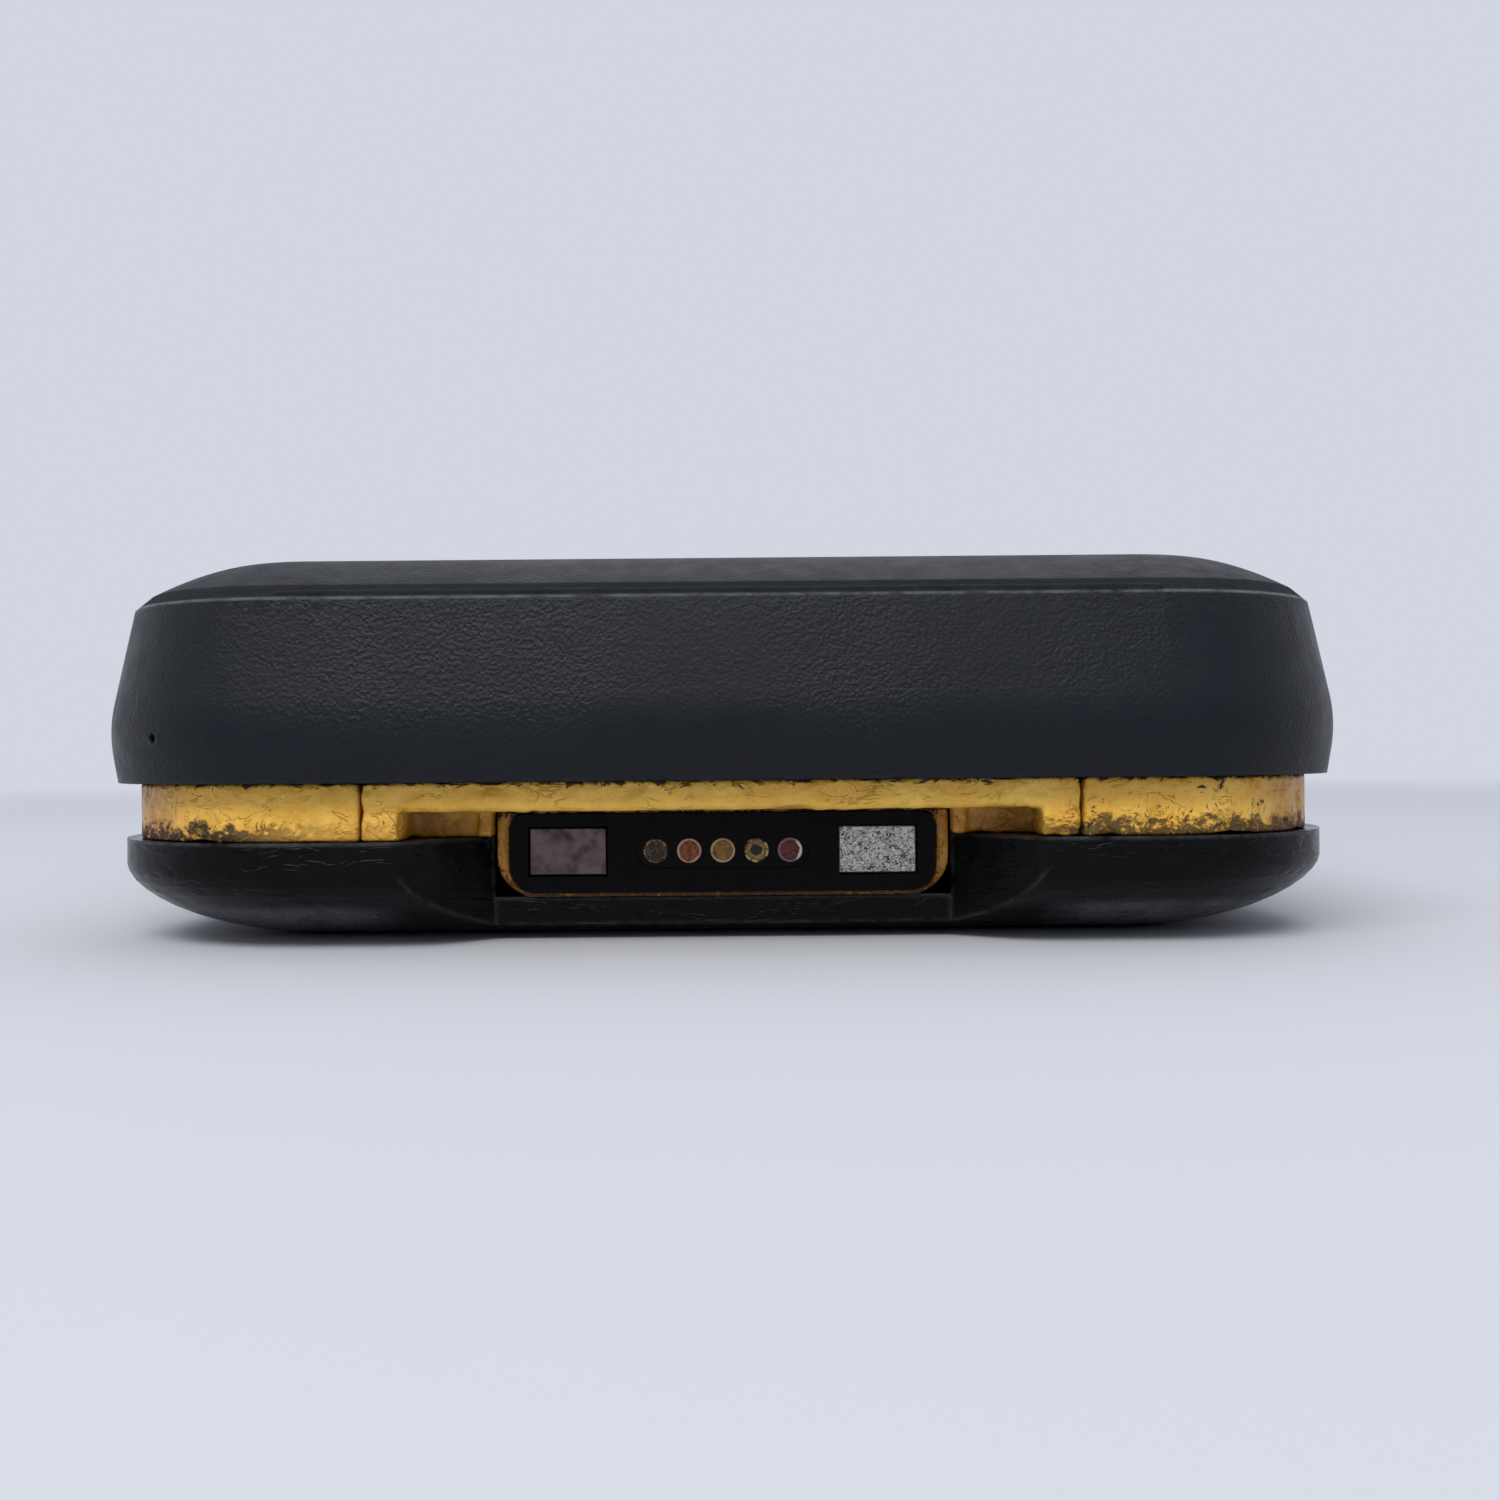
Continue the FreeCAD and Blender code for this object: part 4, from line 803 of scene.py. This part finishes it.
def figure(bm, corner, width, height, thick, lit, low, high):
    """A seven-segment figure. lit names its segments, a to g."""
    x0, y0 = corner
    x1 = x0 + width
    y1 = y0 + height / 2
    y2 = y0 + height
    runs = {
        "a": ((x0, y2), (x1, y2)),
        "b": ((x1, y1), (x1, y2)),
        "c": ((x1, y0), (x1, y1)),
        "d": ((x0, y0), (x1, y0)),
        "e": ((x0, y0), (x0, y1)),
        "f": ((x0, y1), (x0, y2)),
        "g": ((x0, y1), (x1, y1)),
    }
    for name in lit:
        bar(bm, *runs[name], thick, low, high)


def signal_bars(ink, left, foot, face, top):
    """Five rising bars."""
    for i in range(5):
        x = left + 1.9 * i * MM
        block(ink, x, foot, x + 1.2 * MM, foot + (1.0 + 0.9 * i) * MM, face, top)


def battery_sign(ink, x1, y0, face, top):
    """An outlined battery with a cap at its left end and three cells, from its lower right corner."""
    edge = 0.35 * MM
    cap = 0.8 * MM
    cap_inset = 1.1 * MM
    cell_inset = 0.7 * MM
    x0 = x1 - 8.2 * MM
    y1 = y0 + 3.6 * MM
    block(ink, x0, y0, x1, y0 + edge, face, top)
    block(ink, x0, y1 - edge, x1, y1, face, top)
    block(ink, x0, y0, x0 + edge, y1, face, top)
    block(ink, x1 - edge, y0, x1, y1, face, top)
    block(ink, x0 - cap, y0 + cap_inset, x0, y1 - cap_inset, face, top)
    for i in range(3):
        x = x1 - (2.4 + 2.35 * i) * MM
        block(ink, x, y0 + cell_inset, x + 1.7 * MM, y1 - cell_inset, face, top)


def scale_ticks(ink, left, foot, face, top):
    """A row of ticks, with every fifth one taller."""
    for i in range(22):
        x = left + 1.75 * i * MM
        tall = 0.9 if i % 5 else 1.7
        block(ink, x, foot, x + 0.4 * MM, foot + tall * MM, face, top)


def display_parts():
    """The panel behind the window and its dark figures: a number, two level signs and a scale."""
    module_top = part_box("display_module")[1].z
    gasket_low, gasket_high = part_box("display_gasket")
    centre = (gasket_low + gasket_high) / 2
    room = gasket_high - gasket_low
    width = room.x / MM - 2 * panel_rim
    length = room.y / MM - 2 * panel_rim
    face = module_top + 0.15 * MM
    bm = bmesh.new()
    plate(bm, centre, width, length, 1.2, ((0, module_top), (0, face - 0.04 * MM), (0.04, face)))
    settle(add_mesh("display_panel", bm, display_green()), "root")
    top = face + ink_height * MM
    ink = bmesh.new()
    left = centre.x - width / 2 * MM
    base = centre.y - length / 2 * MM
    for i, lit in enumerate(("bc", "abdeg", "acdefg")):
        corner = (centre.x + (-13.5 + figure_pitch * i) * MM, centre.y - 7.2 * MM)
        figure(ink, corner, figure_width * MM, figure_height * MM, figure_stroke * MM, lit, face, top)
    signal_bars(ink, left + display_margin * MM, base + (length - 6.6) * MM, face, top)
    battery_sign(ink, left + (width - display_margin) * MM, base + (length - 6.4) * MM, face, top)
    scale_ticks(ink, left + display_margin * MM, base + 2.2 * MM, face, top)
    look = printed("display_ink", (0.018, 0.022, 0.020))
    settle(add_mesh("display_figures", ink, look, False), "root")


def key_parts():
    """Crowned rubber caps in place of the plain keys, with a raised sign on each."""
    shell_top = shell_high.z
    rubber = black_rubber("key_cap_rubber", 0.42, 0.55)
    yellow = plain_plastic("call_cap_yellow", (0.80, 0.44, 0.05), 0.50, 4.0, 0.02, 0.10)
    white = printed("sign_white", (0.62, 0.63, 0.62))
    dark = printed("sign_black", (0.02, 0.02, 0.02))
    signs = {
        "key_call": ("call_key", dark, "call_key"),
        "key_menu": ("menu_key", white, "key"),
        "key_up": ("up_key", white, "key"),
        "key_down": ("down_key", white, "key"),
    }
    for node, (body, ink, slot) in signs.items():
        low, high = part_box(node)
        centre = (low + high) / 2
        width = (high.x - low.x) / MM - 2 * key_flange
        length = (high.y - low.y) / MM - 2 * key_flange
        foot = shell_top - 3.4 * MM
        shoulder = shell_top - 2.4 * MM - 0.05 * MM
        crown = high.z - 0.05 * MM
        levels = [(-key_flange, foot), (-key_flange, shoulder), (0, shoulder), (0, crown - 0.75 * MM)]
        levels += [(inset, crown - drop * MM) for inset, drop in key_crown]
        bm = bmesh.new()
        plate(bm, centre, width, length, 2.8, levels)
        cap = add_mesh(node + "_cap", bm, yellow if node == "key_call" else rubber, True, 60.0)
        settle(cap, body, node)
        stem = bmesh.new()
        lathe_up(stem, centre, ((low.z, 1.8), (low.z + 0.2 * MM, 2.0), (foot, 2.0)))
        settle(add_mesh(node + "_stem", stem, rubber), body)
        sign = bmesh.new()
        top = high.z
        base = crown - 0.10 * MM
        key_sign(sign, node, centre, base, top)
        settle(add_mesh(node + "_sign", sign, ink, False), body)


def key_sign(bm, node, centre, low, high):
    """Three bars for the menu, a ringed dot for the call, or an arrowhead up or down."""
    if node == "key_menu":
        for i in (-1, 0, 1):
            y = centre.y + i * 1.3 * MM
            bar(bm, (centre.x - 2.4 * MM, y), (centre.x + 2.4 * MM, y), 0.55 * MM, low, high)
    elif node == "key_call":
        for radius, thick in ((0.7, 1.4), (1.7, 0.45), (2.7, 0.45)):
            ring_mark(bm, centre, radius, thick, low, high)
    else:
        turn = 1 if node == "key_up" else -1
        tip = centre.y + 1.5 * turn * MM
        foot = centre.y - 1.2 * turn * MM
        half = 2.1 * MM
        prism(bm, ((centre.x, tip), (centre.x - half, foot), (centre.x + half, foot)), low, high)


def ring_mark(bm, centre, radius, thick, low, high):
    """A round dot or ring, raised from the face."""
    outer = radius + thick / 2
    inner = max(radius - thick / 2, 0.02)
    rings = []
    for r, z in ((outer, low), (outer, high), (inner, high), (inner, low)):
        rings.append([Vector((x, y, z)) for x, y in circle(centre.x, centre.y, r * MM, 40)])
    stack_loop(bm, rings)


def lathe_up(bm, centre, profile, steps=32):
    """Turns (Z, radius in mm) points about an upright axis."""
    rings = []
    for z, radius in profile:
        rings.append([Vector((x, y, z)) for x, y in circle(centre.x, centre.y, radius * MM, steps)])
    stack(bm, rings)


def lathe_along(bm, centre, profile, steps=64):
    """Turns (Y, radius in mm) points about an axis along Y."""
    rings = []
    for y, radius in profile:
        rings.append([Vector((x, y, z)) for x, z in circle(centre.x, centre.z, radius * MM, steps)])
    stack(bm, rings)


def side_marks():
    """Grip ribs on the talk button and raised dots on the two small side buttons."""
    grip = plain_plastic("ptt_rib_yellow", (0.78, 0.42, 0.05), 0.48, 4.0, 0.02, 0.10)
    rubber = black_rubber("side_mark_rubber", 0.40, 0.50)
    low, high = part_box("ptt_button")
    centre = (low + high) / 2
    outside = low.x
    bm = bmesh.new()
    for i in range(9):
        middle = centre + Vector((0, (i - 4) * 2.3 * MM, 0))
        side_bump(bm, middle, outside, 0.9, 4.8, 0.44)
    settle(add_mesh("ptt_ribs", bm, grip), "ptt")
    for node, body, dots in (
        ("side_button_upper", "upper_side_button", 1),
        ("side_button_lower", "lower_side_button", 2),
    ):
        low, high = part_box(node)
        centre = (low + high) / 2
        bm = bmesh.new()
        for i in range(dots):
            middle = centre + Vector((0, (i - (dots - 1) / 2) * 2.6 * MM, 0))
            side_bump(bm, middle, low.x, 1.3, 1.3, 0.64)
        settle(add_mesh(node + "_dots", bm, rubber), body)


def side_bump(bm, middle, outside, width, height, radius):
    """A low rounded bump on a face that looks along -X."""
    rings = place_rings(
        [(inset, outside + depth * MM) for inset, depth in side_bump_levels],
        lambda inset: rounded_outline(width - 2 * inset, height - 2 * inset, max(radius - inset, 0.1), 5),
        lambda p, x: Vector((x, middle.y + p.x * MM, middle.z + p.y * MM)),
    )
    stack(bm, rings)


def knob_pointers():
    """A white pointer on the face of each knob."""
    white = printed("pointer_white", (0.70, 0.71, 0.70))
    for name in ("channel", "volume"):
        low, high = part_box(name + "_knob")
        centre = (low + high) / 2
        end = high.y
        bm = bmesh.new()
        rings = place_rings(
            [(inset, end + rise * MM) for inset, rise in pointer_levels],
            lambda inset: rounded_outline(0.9 - 2 * inset, 3.8 - 2 * inset, 0.44 - inset, 5),
            lambda p, y: Vector((centre.x + p.x * MM, y, centre.z + (3.0 + p.y) * MM)),
        )
        stack(bm, rings)
        settle(add_mesh(name + "_pointer", bm, white), name)


def antenna_whip():
    """A tapered rubber whip with a ribbed collar, in place of the plain cone."""
    low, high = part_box("antenna")
    centre = (low + high) / 2
    collar = (high.x - low.x) / 2 / MM
    start = low.y
    profile = [
        (start, collar - 0.3),
        (start + 0.3 * MM, collar),
        (start + 2.6 * MM, collar),
        (start + 2.9 * MM, collar - 0.25),
        (start + 3.0 * MM, 6.15),
    ]
    for i in range(4):
        y = start + (4.0 + 2.0 * i) * MM
        profile += [(y, 6.1), (y + 0.25 * MM, 5.75), (y + 0.75 * MM, 5.75), (y + 1.0 * MM, 6.1)]
    tip_round = 2.8
    taper_end = high.y - tip_round * MM
    taper_start = start + 12.0 * MM
    for i in range(1, 7):
        share = i / 6
        profile.append((taper_start + (taper_end - taper_start) * share, 6.05 - 1.4 * share))
    for i in range(1, 9):
        angle = math.pi / 2 * i / 8
        profile.append((taper_end + tip_round * MM * math.sin(angle), 1.85 + tip_round * math.cos(angle)))
    bm = bmesh.new()
    lathe_along(bm, centre, profile)
    whip = add_mesh("antenna_whip", bm, black_rubber("whip_rubber", 0.40, 0.55), True, 50.0)
    settle(whip, "root", "antenna")


def grille_cloth():
    """The dark cloth seen through the grille's slots."""
    low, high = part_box("speaker_grille")
    centre = (low + high) / 2
    speaker_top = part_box("speaker")[1].z
    top = low.z - 0.15 * MM
    bm = bmesh.new()
    plate(bm, centre, 39.4, 21.4, 2.8, ((0, speaker_top + 0.6 * MM), (0, top - 0.1 * MM), (0.1, top)))
    g = Graph("grille_cloth")
    weave = g.math(
        "ADD",
        g.noise(3.2, 1.0, 0.5, g.stretch((4.0, 0.8, 1.0))),
        g.noise(3.2, 1.0, 0.5, g.stretch((0.8, 4.0, 1.0))),
    )
    base = g.mix(g.between(weave, 0.7, 1.3), (0.004, 0.004, 0.005), (0.022, 0.022, 0.024))
    g.finish(base, 0.8, normal=g.bump(weave, 0.08 * MM, 0.9))
    settle(add_mesh("grille_cloth", bm, g.material), "root")


def window_lip():
    """The low lip moulded round the window."""
    low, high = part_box("display_lens")
    centre = (low + high) / 2
    width = (high.x - low.x) / MM
    length = (high.y - low.y) / MM
    top = shell_high.z
    rings = place_rings(
        [(inset, top + rise * MM) for inset, rise in lip_levels],
        lambda inset: rounded_outline(width - 2 * inset, length - 2 * inset, 2.9 - inset, 8),
        flat_on(centre),
    )
    bm = bmesh.new()
    stack_loop(bm, rings)
    settle(add_mesh("window_lip", bm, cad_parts["front_shell"].data.materials[0]), "root")


def worn_copy(node, look, voxel, depth, bite=None):
    """A worn copy of a CAD node: its edges are rounded and shallow dents are cut into its faces."""
    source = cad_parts[node]
    piece = bpy.data.objects.new(node + "_worn", source.data.copy())
    bpy.context.scene.collection.objects.link(piece)
    remesh = piece.modifiers.new("even", "REMESH")
    remesh.mode = "VOXEL"
    remesh.voxel_size = voxel
    soften = piece.modifiers.new("soften", "SMOOTH")
    soften.factor = 0.5
    soften.iterations = 3
    mesh = bpy.data.meshes.new_from_object(piece.evaluated_get(bpy.context.evaluated_depsgraph_get()))
    piece.modifiers.clear()
    piece.data = mesh
    normals = [v.normal.copy() for v in mesh.vertices]
    for v, normal in zip(mesh.vertices, normals):
        place = v.co / MM
        cut = max(0.0, noise.fractal(place * 0.55, 1.0, 2.0, 3) - 0.05) * depth
        if bite:
            cut += bite(place)
        v.co -= normal * cut * MM
    mesh.shade_smooth()
    mesh.materials.clear()
    mesh.materials.append(look)
    settle(piece, "root", node)


def visor_bite(place):
    """Extra wear on the visor's free lower edge, which waves along its length."""
    near_edge = max(0.0, 1.0 - abs(place.z - visor_free_z) / 0.7)
    near_front = max(0.0, 1.0 - (place.y - visor_front) / 2.0)
    long_wave = noise.noise(Vector((place.x * 0.22, 4.0, 0.0)))
    short_wave = noise.noise(Vector((place.x * 0.8, 9.0, 0.0)))
    return near_edge * near_front * max(0.0, 0.10 + 0.28 * (long_wave + 0.5 * short_wave))


def battery_door_grip():
    """The battery door with five grip grooves cut beside its lock."""
    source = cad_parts["battery_door"]
    door = bpy.data.objects.new("battery_door_gripped", source.data.copy())
    bpy.context.scene.collection.objects.link(door)
    low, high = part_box("battery_door")
    lock_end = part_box("door_lock")[1].y
    levels = ((0, low.z - 0.2 * MM), (0, low.z + 0.30 * MM), (0.2, low.z + 0.45 * MM))
    bm = bmesh.new()
    for i in range(5):
        centre = Vector(((low.x + high.x) / 2, lock_end + (5.0 + 2.2 * i) * MM, 0))
        plate(bm, centre, 18.0 - 1.8 * i, 1.0, 0.49, levels)
    cutter = add_mesh("groove_cutter", bm, source.data.materials[0], False)
    cut = door.modifiers.new("grooves", "BOOLEAN")
    cut.operation = "DIFFERENCE"
    cut.solver = "EXACT"
    cut.object = cutter
    mesh = bpy.data.meshes.new_from_object(door.evaluated_get(bpy.context.evaluated_depsgraph_get()))
    door.modifiers.clear()
    door.data = mesh
    bpy.data.objects.remove(cutter)
    mesh.shade_smooth()
    mesh.set_sharp_from_angle(angle=door_sharp_angle)
    settle(door, "root", "battery_door")


def surround_frame():
    """The yellow frame round the connector. Its lower corners follow the connector's round ones."""
    low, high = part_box("dock_surround")
    block_low, block_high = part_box("dock_connector")
    gap = 0.06
    front = low.y
    levels = ((0.0, high.y), (0.0, front + 0.25 * MM), (0.08, front + 0.08 * MM), (0.25, front))
    rings = [dock_outline(low, high, 2.5, 0.15, -inset, y) for inset, y in levels]
    for inset, y in reversed(levels):
        rings.append(dock_outline(block_low, block_high, 1.7, 1.0, gap + inset, y))
    bm = bmesh.new()
    stack_loop(bm, rings)
    piece = add_mesh("surround_frame", bm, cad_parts["dock_surround"].data.materials[0])
    settle(piece, "root", "dock_surround")


def dock_outline(low, high, round_low, round_high, grow, y):
    """An upright outline in the plane at y, with its own radius for the lower and the upper corners."""
    x0 = low.x / MM - grow
    x1 = high.x / MM + grow
    z0 = low.z / MM - grow
    z1 = high.z / MM + grow
    corners = (
        (x1, z1, -1, -1, round_high, 0),
        (x0, z1, 1, -1, round_high, 1),
        (x0, z0, 1, 1, round_low, 2),
        (x1, z0, -1, 1, round_low, 3),
    )
    points = []
    steps = 8
    for x, z, inward_x, inward_z, radius, quarter in corners:
        r = max(radius + grow, 0.05)
        cx = x + inward_x * r
        cz = z + inward_z * r
        for step in range(steps + 1):
            angle = math.pi / 2 * (quarter + step / steps)
            points.append(Vector(((cx + r * math.cos(angle)) * MM, y, (cz + r * math.sin(angle)) * MM)))
    return points


make_camera()
make_stage()
make_lights()
make_flag()
dress()
display_parts()
key_parts()
side_marks()
knob_pointers()
antenna_whip()
grille_cloth()
window_lip()
surround_frame()
battery_door_grip()
band_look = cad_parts["band_centre"].data.materials[0]
worn_copy("band_centre", band_look, 0.16 * MM, 0.24, visor_bite)
worn_copy("band_corner_left", band_look, 0.18 * MM, 0.22)
worn_copy("band_corner_right", band_look, 0.18 * MM, 0.26)
